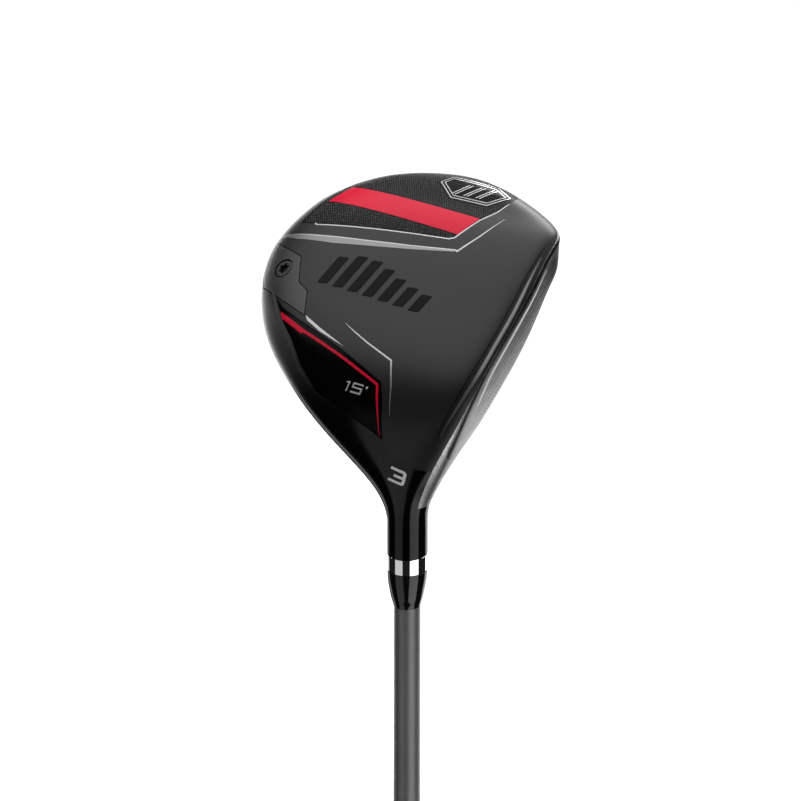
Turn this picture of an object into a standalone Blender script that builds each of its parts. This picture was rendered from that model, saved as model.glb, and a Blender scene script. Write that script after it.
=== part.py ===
"""A right-handed fairway wood, held head up.

The shaft's axis is +Z, from the butt of the grip at the origin up to the head. +X is the way the
face looks at address, and +Y runs from the sole side of the shaft to its crown side.
The head is lofted in its address frame (x to the target, y to the heel, z up from the ground),
whose origin is where the shaft's axis meets the ground, and is then turned head up.
"""
import math
from collections import namedtuple

import bpy
import numpy as np
from mathutils import Matrix, Vector

MM = 0.001

# ---- Overall sizes
CLUB_LENGTH = 1092 * MM      # butt of the grip to the point where the shaft's axis meets the ground
LIE = math.radians(57)       # shaft to the ground
LOFT = math.radians(15)      # face to the shaft
HEAD_DEPTH = 93.4 * MM       # leading edge to trailing edge
TOE_REACH = 85.4 * MM        # shaft's axis on the ground to the toe
HEAD_HEIGHT = 38.2 * MM      # sole to the top of the crown

# ---- Head
WALL = 2.0 * MM              # cast body
SHELL = 1.0 * MM             # crown, badges and trims, all let into the body
FACE_THICKNESS = 2.4 * MM
FIT_GAP = 0.3 * MM           # round anything let into, or fitted over, something else
CROWN_LEDGE = 4.0 * MM       # width of the ledge that carries the crown
FACE_CUT_FROM = 0.10         # share of the head's depth where the face's opening starts
CROWN_CUT_FROM = 0.34        # shares of its height where the crown's starts and the sole's seats end
SOLE_CUT_TO = 0.42
TRIM_OVERLAP = 0.1 * MM      # of the trim's seat past the panel's edge
BEYOND = 6.0 * MM            # reach of a cutter past what it cuts
SKIN_FACETS = (40, 40)       # of the head, round its section and along it
CAVITY_FACETS = (24, 22)

# ---- Hosel, ferrule and shaft
HOSEL_RADIUS = 6.53 * MM
HOSEL_TOP = 59.8 * MM        # up the shaft's axis from the ground
HOSEL_BORE_DEPTH = 34 * MM
RING_HEIGHT = 5.7 * MM
FERRULE_LENGTH = 13 * MM
FERRULE_END_WALL = 0.7 * MM
FERRULE_END_ROUND = 1.2 * MM
FERRULE_WAIST = 0.35 * MM    # how much it has narrowed at this share of its length
FERRULE_WAIST_AT = 0.35
TIP_RADIUS = 4.25 * MM
TIP_PARALLEL = 110 * MM      # stretch of the tip with no taper
BUTT_RADIUS = 7.6 * MM
SHAFT_WALL = 1.3 * MM
PLUG_LENGTH = 10 * MM
ROUND_SIDES = 28
EDGE = 0.3 * MM              # chamfer on small turned pieces

# ---- Grip
GRIP_LENGTH = 267 * MM
GRIP_MOUTH_WALL = 1.6 * MM
GRIP_BUTT_WALL = 4.4 * MM
GRIP_BUTT_STRAIGHT = 4.0 * MM
GRIP_MOUTH_LIP = 2.0 * MM    # stretch that narrows at the mouth
GRIP_MOUTH_ROUND = 0.8 * MM
CAP_HEIGHT = 3.5 * MM
CAP_EDGE = 2.0 * MM
TAPE_THICKNESS = 0.3 * MM
TAPE_LENGTH = 240 * MM

# ---- Rear weight and its screw
PLATE_THICKNESS = 1.6 * MM
PLATE_PAD = 1.7 * MM         # metal left under the plate's seat
SEAT_REACH = 7.5 * MM        # seat's reach below the skin at the screw, short of the crown side
SLUG_RADIUS = 6.0 * MM
SLUG_LENGTH = 6.0 * MM
SCREW_HEAD_RADIUS = 3.4 * MM
SCREW_HEAD_HEIGHT = 2.1 * MM
SCREW_SINK = 0.6 * MM        # screw's head below the plate's face
SHANK_RADIUS = 2.5 * MM
SHANK_CHAMFER = 0.5 * MM
SOCKET_RADIUS = 1.75 * MM    # mean radius of the six-lobe socket
SOCKET_LOBE = 0.3 * MM
SOCKET_DEPTH = 1.3 * MM
CLIP_THICKNESS = 0.7 * MM
CLIP_RIM = 1.3 * MM          # retainer's width outside the shank
THREAD_LENGTH = 4.6 * MM     # grip of the screw in its insert, and so the weight's travel
INSERT_RADIUS = 4.2 * MM
BOSS_WALL = 1.6 * MM

# ---- Colours: base colour, metallic, roughness
FINISHES = {
    "satin_grey": ((0.055, 0.056, 0.058), 0.6, 0.42),
    "face_steel": ((0.42, 0.42, 0.43), 1.0, 0.36),
    "gloss_black": ((0.006, 0.006, 0.007), 0.0, 0.08),
    "red_gloss": ((0.60, 0.012, 0.045), 0.0, 0.25),
    "textured_black": ((0.012, 0.012, 0.013), 0.0, 0.5),
    "silver": ((0.60, 0.60, 0.61), 1.0, 0.25),
    "tungsten": ((0.22, 0.22, 0.23), 1.0, 0.4),
    "bright_chrome": ((0.80, 0.80, 0.81), 1.0, 0.06),
    "shaft_grey": ((0.14, 0.14, 0.145), 0.3, 0.38),
    "foam": ((0.62, 0.50, 0.32), 0.0, 0.85),
    "rubber": ((0.015, 0.015, 0.016), 0.0, 0.75),
    "tape": ((0.70, 0.66, 0.52), 0.0, 0.8),
}

# ---- Sections of the head, in millimetres, drawn at these sizes and scaled to those above
DRAWN_DEPTH, DRAWN_REACH, DRAWN_HEIGHT = 93.4, 85.4, 38.2
Section = namedtuple("Section", "place front back sole face_top crown rear_edge round")
TOE_TIP = Section(-85.4, -20.2, -20.2, 17.0, 17.0, 17.0, 17.0, 1.0)
UPRIGHT = (                                     # place is y
    Section(-82.8, -5.0, -32.7, 11.4, 23.1, 23.6, 17.0, 0.70),
    Section(-78.1, 6.1, -48.0, 7.4, 27.7, 29.2, 16.0, 0.30),
    Section(-67.8, 25.3, -60.0, 5.4, 30.0, 32.0, 15.0, 0.05),
    Section(-60.0, 24.2, -64.8, 2.5, 32.6, 35.1, 14.5, 0.0),
    Section(-44.0, 25.2, -71.0, 0.7, 36.1, 38.6, 14.0, 0.0),
    Section(-28.0, 24.2, -68.6, 0.5, 36.5, 39.0, 14.0, 0.0),
    Section(-12.0, 22.7, -60.1, 0.2, 35.8, 38.3, 14.5, 0.0),
)
LEANING = (                                     # place is degrees about the pivot
    Section(12, 21.9, -50.8, 0.4, 34.3, 36.3, 15.0, 0.05),
    Section(24, 19.4, -40.3, 1.7, 30.8, 31.8, 15.5, 0.25),
    Section(36, 14.7, -26.4, 4.6, 28.1, 28.4, 16.0, 0.55),
    Section(47, 9.9, -12.6, 8.2, 25.9, 25.9, 17.0, 0.85),
)
PIVOT_Y, PIVOT_Z = -12.0, 60.0                  # above the heel: the sections fan out round it
HOSEL_RINGS = (0.0, 0.45, 0.75, 1.0)            # shares of the way up the straight of the hosel
POINTS = 16                                     # control points round a section

# ---- Outlines on the sole, in millimetres (x to the target, y to the heel), at the drawn size
TOE_PANEL = ((-63.5, -50.8), (-7.5, -53.6), (3.8, -72.6), (-3.5, -78.2), (-15, -80.6),
             (-28, -80.4), (-40, -77.2), (-50, -71.5), (-59, -62.5))
TOE_STRIPE = ((-55.2, -61.4), (-6.0, -55.6), (-1.4, -64.0), (-51.5, -69.2))
EMBLEM = ((-21, -73.4), (-16, -77.6), (-5, -77.3), (-0.6, -73.2), (-6, -69.2), (-16.4, -69.4))
HEEL_PANEL = ((-57.3, -20.2), (-53.4, -16.4), (-42.6, -10.6), (-9.8, 2.4), (-5.6, 16.8),
              (-18, 12.8), (-31, 7.0), (-40, 0.4), (-47, -7.2))
HEEL_TRIM = ((-52.4, -15.9), (-42.6, -10.6), (-9.8, 2.4), (-8.2, 8.0), (-10.6, 3.8), (-43.4, -8.8),
             (-50.6, -13.0))
WEIGHT_SPOT = (6.54, 5.73)                      # where the screw goes in: round and along the loft
WEIGHT_PLATE = ((-11.0, 10.0), (-4.8, -4.9), (4.6, -8.3), (7.7, -12.9), (15.6, -15.4),
                (10.2, -1.6), (6.4, 7.0), (-3.0, 11.4))  # (to the heel, to the rear) of the screw
FACE_SPAN = ((-1.75, 1.15), (2.95, 9.75))       # the face's reach round the loft and along it
CROWN_SPAN = ((9.7, 13.7), (1.5, 8.1))


# ======================================================================== helpers
def material(name):
    colour, metallic, roughness = FINISHES[name]
    mat = bpy.data.materials.get(name) or bpy.data.materials.new(name)
    mat.use_nodes = True
    shader = mat.node_tree.nodes["Principled BSDF"]
    shader.inputs["Base Color"].default_value = (*colour, 1.0)
    shader.inputs["Metallic"].default_value = metallic
    shader.inputs["Roughness"].default_value = roughness
    mat.diffuse_color = (*colour, 1.0)
    return mat


def add_object(name, points, faces, finish=None):
    """A mesh object. One with no finish is a cutter, which isn't part of the club."""
    mesh = bpy.data.meshes.new(name)
    mesh.from_pydata([tuple(p) for p in points], [], faces)
    obj = bpy.data.objects.new(name, mesh)
    bpy.context.scene.collection.objects.link(obj)
    if finish is None:
        obj.hide_render = True
        obj.display_type = "WIRE"
    else:
        mesh.materials.append(material(finish))
        mesh.polygons.foreach_set("use_smooth", [True] * len(mesh.polygons))
    return obj


def boolean(obj, operation, *others):
    for other in others:
        modifier = obj.modifiers.new(f"{operation.lower()}_{other.name}", "BOOLEAN")
        modifier.operation = operation
        modifier.object = other
    return obj


def tube_faces(rings, sides, closed):
    """Quads between neighbouring rings; a closed tube's last ring meets its first."""
    faces = []
    for i in range(rings if closed else rings - 1):
        a, b = i * sides, (i + 1) % rings * sides
        faces += [(a + j, b + j, b + (j + 1) % sides, a + (j + 1) % sides) for j in range(sides)]
    return faces


def turned(name, profile, finish=None, placed=Matrix(), sides=ROUND_SIDES):
    """A solid turned about Z. The profile holds (radius, z) corners, anticlockwise with the radius
    to the right. It is open where it starts and ends on the axis, and a ring where it doesn't."""
    on_axis = profile[0][0] == 0
    rim = profile[1:-1] if on_axis else profile
    turn = [(math.cos(2 * math.pi * k / sides), math.sin(2 * math.pi * k / sides)) for k in range(sides)]
    points = [Vector((r * c, r * s, z)) for r, z in rim for c, s in turn]
    faces = [tuple(reversed(f)) for f in tube_faces(len(rim), sides, closed=not on_axis)]
    if on_axis:
        bottom, top = len(points), len(points) + 1
        points += [Vector((0, 0, profile[0][1])), Vector((0, 0, profile[-1][1]))]
        last = (len(rim) - 1) * sides
        faces += [(bottom, (k + 1) % sides, k) for k in range(sides)]
        faces += [(top, last + k, last + (k + 1) % sides) for k in range(sides)]
    return add_object(name, [placed @ p for p in points], faces, finish)


def area(outline):
    return 0.5 * sum(a[0] * b[1] - b[0] * a[1] for a, b in zip(outline, outline[1:] + outline[:1]))


def grown(outline, distance):
    """The outline moved out by a distance, or in by a negative one, with its corners kept."""
    moved = []
    count = len(outline)
    for i, point in enumerate(outline):
        here = Vector(point)
        before = (here - Vector(outline[i - 1])).normalized()
        after = (Vector(outline[(i + 1) % count]) - here).normalized()
        out = Vector((before.y + after.y, -before.x - after.x)).normalized()
        reach = distance / max(out.dot(Vector((before.y, -before.x))), 0.35)
        moved.append(tuple(here + out * reach))
    return moved


def prism(name, outline, frame, low, high, finish=None):
    """The outline, in the frame's XY plane, as a solid from low to high along the frame's Z."""
    if area(outline) < 0:
        outline = outline[::-1]
    count = len(outline)
    points = [frame @ Vector((x, y, z)) for z in (low, high) for x, y in outline]
    faces = [tuple(range(count - 1, -1, -1)), tuple(range(count, 2 * count))]
    faces += [(i, (i + 1) % count, count + (i + 1) % count, count + i) for i in range(count)]
    return add_object(name, points, faces, finish)


# ======================================================================== the head's skin
SCALE = Vector((HEAD_DEPTH / DRAWN_DEPTH, TOE_REACH / DRAWN_REACH, HEAD_HEIGHT / DRAWN_HEIGHT))
SHAFT_WAY = np.array((0, math.cos(LIE), math.sin(LIE)))     # up the shaft, at address
CROWN_WAY = np.array((0, -math.sin(LIE), math.cos(LIE)))    # square to it, to the crown side
# Turns the head from address to head up
HEAD_UP = Matrix(((1, 0, 0, 0),
                  (0, *CROWN_WAY[1:], 0),
                  (0, *-SHAFT_WAY[1:], CLUB_LENGTH),
                  (0, 0, 0, 1)))


def section_ring(section, inset):
    """The control points of one section as (x, height), in metres, drawn in by the inset."""
    front, back = section.front * SCALE.x - inset, section.back * SCALE.x + inset
    low, top = section.sole * SCALE.z + inset, section.face_top * SCALE.z - inset
    crown, edge = section.crown * SCALE.z - inset, section.rear_edge * SCALE.z
    if front <= back:
        front = back = (front + back) / 2
    depth, height, slope = front - back, top - low, math.tan(LOFT)
    lip = min(1.0, depth / (60 * MM))
    top_front = front - slope * (height - 3 * MM)
    drawn = np.array((
        (front - slope * 0.20 * height, low + 0.24 * height),
        (front + 0.3 * MM, low + 3.4 * MM),
        (front - 2.6 * MM, low + 0.35 * MM),
        (front - 12.0 * MM * lip, low - 0.25 * MM),
        (front - 0.36 * depth, low - 0.1 * MM),
        (front - 0.60 * depth, low + 0.5 * MM),
        (front - 0.82 * depth, low + 0.20 * (edge - low)),
        (front - 0.965 * depth, low + 0.50 * (edge - low)),
        (back - 0.012 * depth, edge),
        (back + 0.045 * depth, edge + 0.30 * (crown - edge)),
        (back + 0.20 * depth, edge + 0.66 * (crown - edge)),
        (back + 0.43 * depth, edge + 0.92 * (crown - edge)),
        (back + 0.66 * depth, crown),
        (top_front - 7.0 * MM * lip, top + 0.8 * MM * (crown > top)),
        (top_front - 0.4 * MM, top - 0.4 * MM),
        (front - slope * 0.62 * height, low + 0.66 * height)))
    turn = (np.arange(POINTS) + 0.5) * 2 * math.pi / POINTS
    swell = 3 / (2 + math.cos(2 * math.pi / POINTS))        # a B-spline runs inside its points
    oval = np.stack(((front + back) / 2 + depth / 2 * swell * np.cos(turn),
                     (low + top) / 2 - height / 2 * swell * np.sin(turn)), 1)
    return (1 - section.round) * drawn + section.round * oval


def control_rings(inset):
    """All the sections' control points in the address frame, from the toe to the hosel's top."""
    pivot = np.array((0, PIVOT_Y * SCALE.y, PIVOT_Z * SCALE.z))
    rings = []

    def place(ring, origin, up):
        rings.append(origin + np.outer(ring[:, 0], (1, 0, 0)) + np.outer(ring[:, 1], up))

    for i, section in enumerate((TOE_TIP, *UPRIGHT)):
        shift = inset * max(0.0, 1 - 0.4 * i)
        place(section_ring(section, inset if i else 0), (0, section.place * SCALE.y + shift, 0), (0, 0, 1))
    for section in LEANING:
        lean = math.radians(section.place)
        up = np.array((0, -math.sin(lean), math.cos(lean)))
        place(section_ring(section, inset), pivot - pivot[2] * up, up)
    start = float(pivot @ SHAFT_WAY)
    radius = HOSEL_RADIUS - inset
    turn = (np.arange(POINTS) + 0.5) * 2 * math.pi / POINTS
    swell = 3 / (2 + math.cos(2 * math.pi / POINTS))
    circle = radius * swell * np.stack((np.cos(turn), -np.sin(turn)), 1)
    for share in HOSEL_RINGS:
        place(circle, (start + share * (HOSEL_TOP - start)) * SHAFT_WAY, CROWN_WAY)
    return np.array(rings)


def spline_weights(t):
    t = np.asarray(t, float)
    return np.stack(((1 - t) ** 3, 3 * t**3 - 6 * t**2 + 4, -3 * t**3 + 3 * t**2 + 3 * t + 1, t**3), -1) / 6


def skin_points(rounds, alongs, inset=0.0):
    """Points of the loft, in the address frame, at each (round, along) pair of parameters."""
    rings = control_rings(inset)
    rings = np.concatenate((2 * rings[:1] - rings[1:2], rings, 2 * rings[-1:] - rings[-2:-1]))
    rounds, alongs = np.broadcast_arrays(np.asarray(rounds, float), np.asarray(alongs, float))
    row = np.minimum(alongs.astype(int), len(rings) - 4)
    column = np.floor(rounds).astype(int)
    along_w, round_w = spline_weights(alongs - row), spline_weights(rounds - column)
    found = 0
    for a in range(4):
        for b in range(4):
            weight = along_w[..., a] * round_w[..., b]
            found = found + weight[..., None] * rings[row + a, (column + b - 1) % POINTS]
    return found


LAST_ALONG = float(len(UPRIGHT) + len(LEANING) + len(HOSEL_RINGS))
CAVITY_END = 9.3             # along the loft, where the cavity stops short of the hosel's bore


def skin_solid(name, inset, end=LAST_ALONG, facets=SKIN_FACETS, finish=None):
    """The space inside the loft, drawn in by the inset, head up."""
    sides, rings = facets
    rounds = np.arange(sides) * POINTS / sides
    alongs = np.linspace(0, end, rings)[1:]
    grid = skin_points(rounds[None, :], alongs[:, None], inset)
    tip = skin_points(0.0, 0.0, inset)
    points = [Vector(p) for p in grid.reshape(-1, 3)] + [Vector(tip), Vector(grid[-1].mean(0))]
    faces = [tuple(reversed(f)) for f in tube_faces(len(alongs), sides, closed=False)]
    last, tip_at, end_at = (len(alongs) - 1) * sides, len(points) - 2, len(points) - 1
    faces += [(tip_at, (j + 1) % sides, j) for j in range(sides)]
    faces += [(end_at, last + j, last + (j + 1) % sides) for j in range(sides)]
    return add_object(name, [HEAD_UP @ p for p in points], faces, finish)


def patch_outline(span, frame, count=36, squareness=0.45):
    """A rounded patch of the skin, seen along the frame's Z, as an outline in the frame."""
    (u0, u1), (v0, v1) = span
    turn = np.arange(count) * 2 * math.pi / count
    rounds = (u0 + u1) / 2 + (u1 - u0) / 2 * np.sign(np.sin(turn)) * abs(np.sin(turn)) ** squareness
    alongs = (v0 + v1) / 2 + (v1 - v0) / 2 * np.sign(np.cos(turn)) * abs(np.cos(turn)) ** squareness
    local = [frame.inverted() @ (HEAD_UP @ Vector(p)) for p in skin_points(rounds % POINTS, alongs)]
    outline = [(p.x, p.y) for p in local]
    return outline if area(outline) > 0 else outline[::-1]


def scaled(outline):
    """A sole outline at the head's real size, in metres and anticlockwise."""
    points = [(x * SCALE.x, y * SCALE.y) for x, y in outline]
    return points if area(points) > 0 else points[::-1]


# ======================================================================== the club, piece by piece
def let_in(name, outline, frame, low, high, finish, thickness=SHELL):
    """A piece let into the head's skin, and the cutter for its seat."""
    seat = prism(f"cut_{name}", outline, frame, low, high)
    boolean(seat, "DIFFERENCE", floors[thickness + FIT_GAP])
    piece = prism(name, grown(outline, -FIT_GAP), frame, low, high, finish)
    boolean(piece, "INTERSECT", outer_skin)
    boolean(piece, "DIFFERENCE", floors[thickness])
    return piece, seat


def make_body():
    body = skin_solid("head_body", 0.0, finish="satin_grey")
    return boolean(body, "DIFFERENCE", skin_solid("cut_cavity", WALL, CAVITY_END, CAVITY_FACETS))


def finish_head(body):
    """The shaft's bore, and everything let into the body but the weight."""
    # Face: a welded plate, let in from the front
    face_frame = HEAD_UP @ Matrix(((0, 0, 1, 0), (1, 0, 0, 0), (0, 1, 0, 0), (0, 0, 0, 1)))
    outline = patch_outline(FACE_SPAN, face_frame)
    inside, outside = FACE_CUT_FROM * HEAD_DEPTH, HEAD_DEPTH
    opening = prism("cut_face_opening", outline, face_frame, inside, outside)
    boolean(body, "DIFFERENCE", opening)
    plate = prism("face_plate", grown(outline, -FIT_GAP), face_frame, inside, outside, "face_steel")
    boolean(plate, "INTERSECT", outer_skin)
    boolean(plate, "DIFFERENCE", floors[FACE_THICKNESS])

    # Crown: a thin shell on a ledge
    outline = patch_outline(CROWN_SPAN, HEAD_UP)
    mid = CROWN_CUT_FROM * HEAD_HEIGHT
    crown, seat = let_in("crown_shell", outline, HEAD_UP, mid, 2 * HEAD_HEIGHT, "gloss_black")
    opening = prism("cut_crown_opening", grown(outline, -CROWN_LEDGE), HEAD_UP, mid, 2 * HEAD_HEIGHT)
    boolean(body, "DIFFERENCE", seat, opening)

    # Badges on the sole
    below, inside = -HEAD_HEIGHT, SOLE_CUT_TO * HEAD_HEIGHT
    toe, toe_seat = let_in("toe_panel", scaled(TOE_PANEL), HEAD_UP, below, inside, "textured_black")
    stripe, stripe_seat = let_in("toe_stripe", scaled(TOE_STRIPE), HEAD_UP, below, inside, "red_gloss")
    emblem, emblem_seat = let_in("toe_emblem", scaled(EMBLEM), HEAD_UP, below, inside, "silver")
    boolean(toe, "DIFFERENCE", stripe_seat, emblem_seat)
    heel, heel_seat = let_in("heel_panel", scaled(HEEL_PANEL), HEAD_UP, below, inside, "gloss_black")
    trim_seat = prism("cut_heel_trim", grown(scaled(HEEL_TRIM), TRIM_OVERLAP), HEAD_UP, below, inside)
    trim = prism("heel_trim", grown(scaled(HEEL_TRIM), -FIT_GAP), HEAD_UP, below, inside, "red_gloss")
    boolean(trim, "INTERSECT", outer_skin)
    boolean(trim, "DIFFERENCE", floors[SHELL])
    boolean(heel, "DIFFERENCE", trim_seat)
    boolean(body, "DIFFERENCE", toe_seat, heel_seat)

    # Bore for the shaft
    bore_radius, bore_length = TIP_RADIUS + FIT_GAP, HOSEL_BORE_DEPTH + BEYOND
    bore = turned("cut_hosel_bore", ((0, 0), (bore_radius, 0), (bore_radius, bore_length), (0, bore_length)),
                  placed=Matrix.Translation((0, 0, CLUB_LENGTH - HOSEL_TOP - BEYOND)))
    boolean(body, "DIFFERENCE", bore)


def weight_frame():
    """Z along the screw and out of the sole, from the skin; X to the heel."""
    u, v = WEIGHT_SPOT
    step = 0.01
    here = skin_points(u, v)
    round_way = skin_points(u + step, v) - here
    along_way = skin_points(u, v + step) - here
    out = Vector(np.cross(round_way, along_way)).normalized()
    if out.z > 0:
        out.negate()
    heelward = Vector((0, 1, 0))
    heelward = (heelward - out * heelward.dot(out)).normalized()
    turn = Matrix((heelward, out.cross(heelward), out)).transposed().to_4x4()
    return HEAD_UP @ Matrix.Translation(here) @ turn


def make_weight(body):
    """The rear weight: cover plate, slug, captive screw and the insert it screws into."""
    frame = weight_frame()
    rear_is_up = 1 if (frame.to_3x3() @ Vector((0, 1, 0))).x < 0 else -1
    outline = [(x * SCALE.y, rear_is_up * y * SCALE.x) for x, y in WEIGHT_PLATE]
    outline = outline if area(outline) > 0 else outline[::-1]
    deep, high = -SEAT_REACH, BEYOND

    seat_depth = PLATE_THICKNESS + FIT_GAP
    slug_top = -seat_depth
    slug_end = slug_top - SLUG_LENGTH
    head_top = -SCREW_SINK
    head_base = head_top - SCREW_HEAD_HEIGHT
    clip_top = slug_end - FIT_GAP
    clip_end = clip_top - CLIP_THICKNESS
    port_end = clip_end - 2 * FIT_GAP
    insert_top = port_end - FIT_GAP
    tip = insert_top - THREAD_LENGTH
    insert_end = tip - 2 * FIT_GAP
    boss_end = insert_end - FIT_GAP - WALL / 2
    port_radius = SLUG_RADIUS + FIT_GAP
    head_hole = SCREW_HEAD_RADIUS + FIT_GAP
    shank_hole = SHANK_RADIUS + FIT_GAP

    # Metal for the plate's seat and the screw's boss, kept inside the skin
    pad = prism("add_weight_pad", grown(outline, PLATE_PAD), frame, deep - PLATE_PAD, high)
    boolean(pad, "INTERSECT", floors[SHELL])
    boolean(pad, "DIFFERENCE", floors[seat_depth + PLATE_PAD])
    boss = turned("add_weight_boss", (
        (0, boss_end), (INSERT_RADIUS + BOSS_WALL, boss_end),
        (INSERT_RADIUS + BOSS_WALL, port_end - BOSS_WALL), (port_radius + BOSS_WALL, port_end - BOSS_WALL),
        (port_radius + BOSS_WALL, 0), (0, 0)), placed=frame)
    boolean(boss, "INTERSECT", floors[SHELL])
    boolean(body, "UNION", pad, boss)

    # What is cut for the weight
    seat = prism("cut_weight_plate", outline, frame, deep, high)
    boolean(seat, "DIFFERENCE", floors[seat_depth])
    port = turned("cut_weight_port", (
        (0, insert_end - FIT_GAP), (INSERT_RADIUS + FIT_GAP, insert_end - FIT_GAP),
        (INSERT_RADIUS + FIT_GAP, port_end), (port_radius, port_end), (port_radius, high), (0, high)),
        placed=frame)
    boolean(body, "DIFFERENCE", seat, port)

    # The pieces themselves
    plate = prism("weight_plate", grown(outline, -FIT_GAP), frame, deep + FIT_GAP, high, "satin_grey")
    boolean(plate, "INTERSECT", outer_skin)
    boolean(plate, "DIFFERENCE", floors[PLATE_THICKNESS])
    hole = turned("cut_plate_back", (
        (0, -SEAT_REACH), (port_radius, -SEAT_REACH), (port_radius, -PLATE_THICKNESS),
        (head_hole, -PLATE_THICKNESS), (head_hole, high), (0, high)), placed=frame)
    boolean(plate, "DIFFERENCE", hole)
    turned("weight_slug", (
        (shank_hole, slug_end), (SLUG_RADIUS, slug_end), (SLUG_RADIUS, slug_top), (head_hole, slug_top),
        (head_hole, head_base - FIT_GAP), (shank_hole, head_base - FIT_GAP)), "tungsten", frame)
    screw = turned("weight_screw", (
        (0, tip), (SHANK_RADIUS - SHANK_CHAMFER, tip), (SHANK_RADIUS, tip + SHANK_CHAMFER),
        (SHANK_RADIUS, head_base),
        (SCREW_HEAD_RADIUS, head_base), (SCREW_HEAD_RADIUS, head_top - EDGE),
        (SCREW_HEAD_RADIUS - EDGE, head_top), (0, head_top)), "tungsten", frame)
    lobes = [SOCKET_RADIUS + SOCKET_LOBE * math.cos(k * math.pi / 4) for k in range(48)]
    socket = [(r * math.cos(k * math.pi / 24), r * math.sin(k * math.pi / 24)) for k, r in enumerate(lobes)]
    boolean(screw, "DIFFERENCE", prism("cut_socket", socket, frame, head_top - SOCKET_DEPTH, high))
    turned("screw_retainer", (
        (shank_hole, clip_end), (shank_hole + CLIP_RIM, clip_end), (shank_hole + CLIP_RIM, clip_top),
        (shank_hole, clip_top)), "silver", frame)
    turned("thread_insert", (
        (shank_hole, insert_end), (INSERT_RADIUS, insert_end), (INSERT_RADIUS, insert_top),
        (shank_hole, insert_top)), "silver", frame)
    return frame


def make_shaft():
    """Shaft, its tip plug, the ferrule and its bright ring. Heights are from the butt."""
    hosel_z = CLUB_LENGTH - HOSEL_TOP
    tip_z = hosel_z + HOSEL_BORE_DEPTH - FIT_GAP
    butt_z = CAP_HEIGHT + FIT_GAP
    taper_top = tip_z - TIP_PARALLEL
    taper_base = butt_z + GRIP_LENGTH - CAP_HEIGHT
    turned("shaft", (
        (BUTT_RADIUS, butt_z), (BUTT_RADIUS, taper_base), (TIP_RADIUS, taper_top), (TIP_RADIUS, tip_z),
        (TIP_RADIUS - SHAFT_WALL, tip_z), (TIP_RADIUS - SHAFT_WALL, taper_top),
        (BUTT_RADIUS - SHAFT_WALL, taper_base), (BUTT_RADIUS - SHAFT_WALL, butt_z)), "shaft_grey")
    plug_radius = TIP_RADIUS - SHAFT_WALL - FIT_GAP
    plug_top = tip_z - FIT_GAP
    turned("tip_plug", ((0, plug_top - PLUG_LENGTH), (plug_radius, plug_top - PLUG_LENGTH),
                        (plug_radius, plug_top), (0, plug_top)), "foam")
    bore = TIP_RADIUS + FIT_GAP
    ring_top = hosel_z - FIT_GAP
    ring_base = ring_top - RING_HEIGHT + FIT_GAP
    turned("ferrule_ring", ((bore, ring_base), (HOSEL_RADIUS, ring_base), (HOSEL_RADIUS, ring_top),
                            (bore, ring_top)), "bright_chrome")
    top = ring_base - FIT_GAP
    end = top - FERRULE_LENGTH
    end_radius = bore + FERRULE_END_WALL
    turned("ferrule", (
        (bore, end), (end_radius - EDGE, end), (end_radius, end + FERRULE_END_ROUND),
        (HOSEL_RADIUS - FERRULE_WAIST, top - FERRULE_WAIST_AT * FERRULE_LENGTH),
        (HOSEL_RADIUS, top), (bore, top)),
        "gloss_black")


def make_grip():
    """Slip-on grip over its tape, with a moulded cap."""
    tape_in = BUTT_RADIUS + FIT_GAP
    tape_out = tape_in + TAPE_THICKNESS
    base = CAP_HEIGHT + FIT_GAP
    turned("grip_tape", ((tape_in, base), (tape_out, base), (tape_out, base + TAPE_LENGTH),
                         (tape_in, base + TAPE_LENGTH)), "tape")
    bore = tape_out + FIT_GAP
    butt, mouth = bore + GRIP_BUTT_WALL, bore + GRIP_MOUTH_WALL
    taper = [(butt, base + GRIP_BUTT_STRAIGHT), (butt - 0.4 * GRIP_BUTT_WALL, 0.45 * GRIP_LENGTH)]
    turned("grip", ((bore, base), (butt, base), *taper, (mouth, GRIP_LENGTH - GRIP_MOUTH_LIP),
                    (mouth - GRIP_MOUTH_ROUND, GRIP_LENGTH), (bore, GRIP_LENGTH)), "rubber")
    turned("grip_cap", ((0, 0), (butt - CAP_EDGE, 0), (butt, CAP_EDGE), (butt, CAP_HEIGHT), (0, CAP_HEIGHT)),
           "rubber")


def clear_scene():
    for obj in list(bpy.data.objects):
        bpy.data.objects.remove(obj)


clear_scene()
outer_skin = skin_solid("cut_outer_skin", 0.0)
DEPTHS = {SHELL, SHELL + FIT_GAP, FACE_THICKNESS, PLATE_THICKNESS, PLATE_THICKNESS + FIT_GAP,
          PLATE_THICKNESS + FIT_GAP + PLATE_PAD}
floors = {depth: skin_solid(f"cut_skin_{depth / MM:.1f}", depth) for depth in sorted(DEPTHS)}
head_body = make_body()
make_weight(head_body)
finish_head(head_body)
make_shaft()
make_grip()
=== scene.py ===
"""The look of a right-handed fairway wood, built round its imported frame.

The head is made in its address frame: metres, x to the target, y to the heel, z up, with the
origin where the shaft's axis meets the ground. Each finished mesh is then turned head up, with the
shaft's axis along +Z and the butt of the grip at the world's origin.
"""
from __future__ import annotations

import logging
import math
from dataclasses import dataclass
from enum import Enum
from typing import NamedTuple, Sequence

import bpy
import numpy as np
from mathutils import Matrix, Vector
from mathutils.bvhtree import BVHTree


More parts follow.
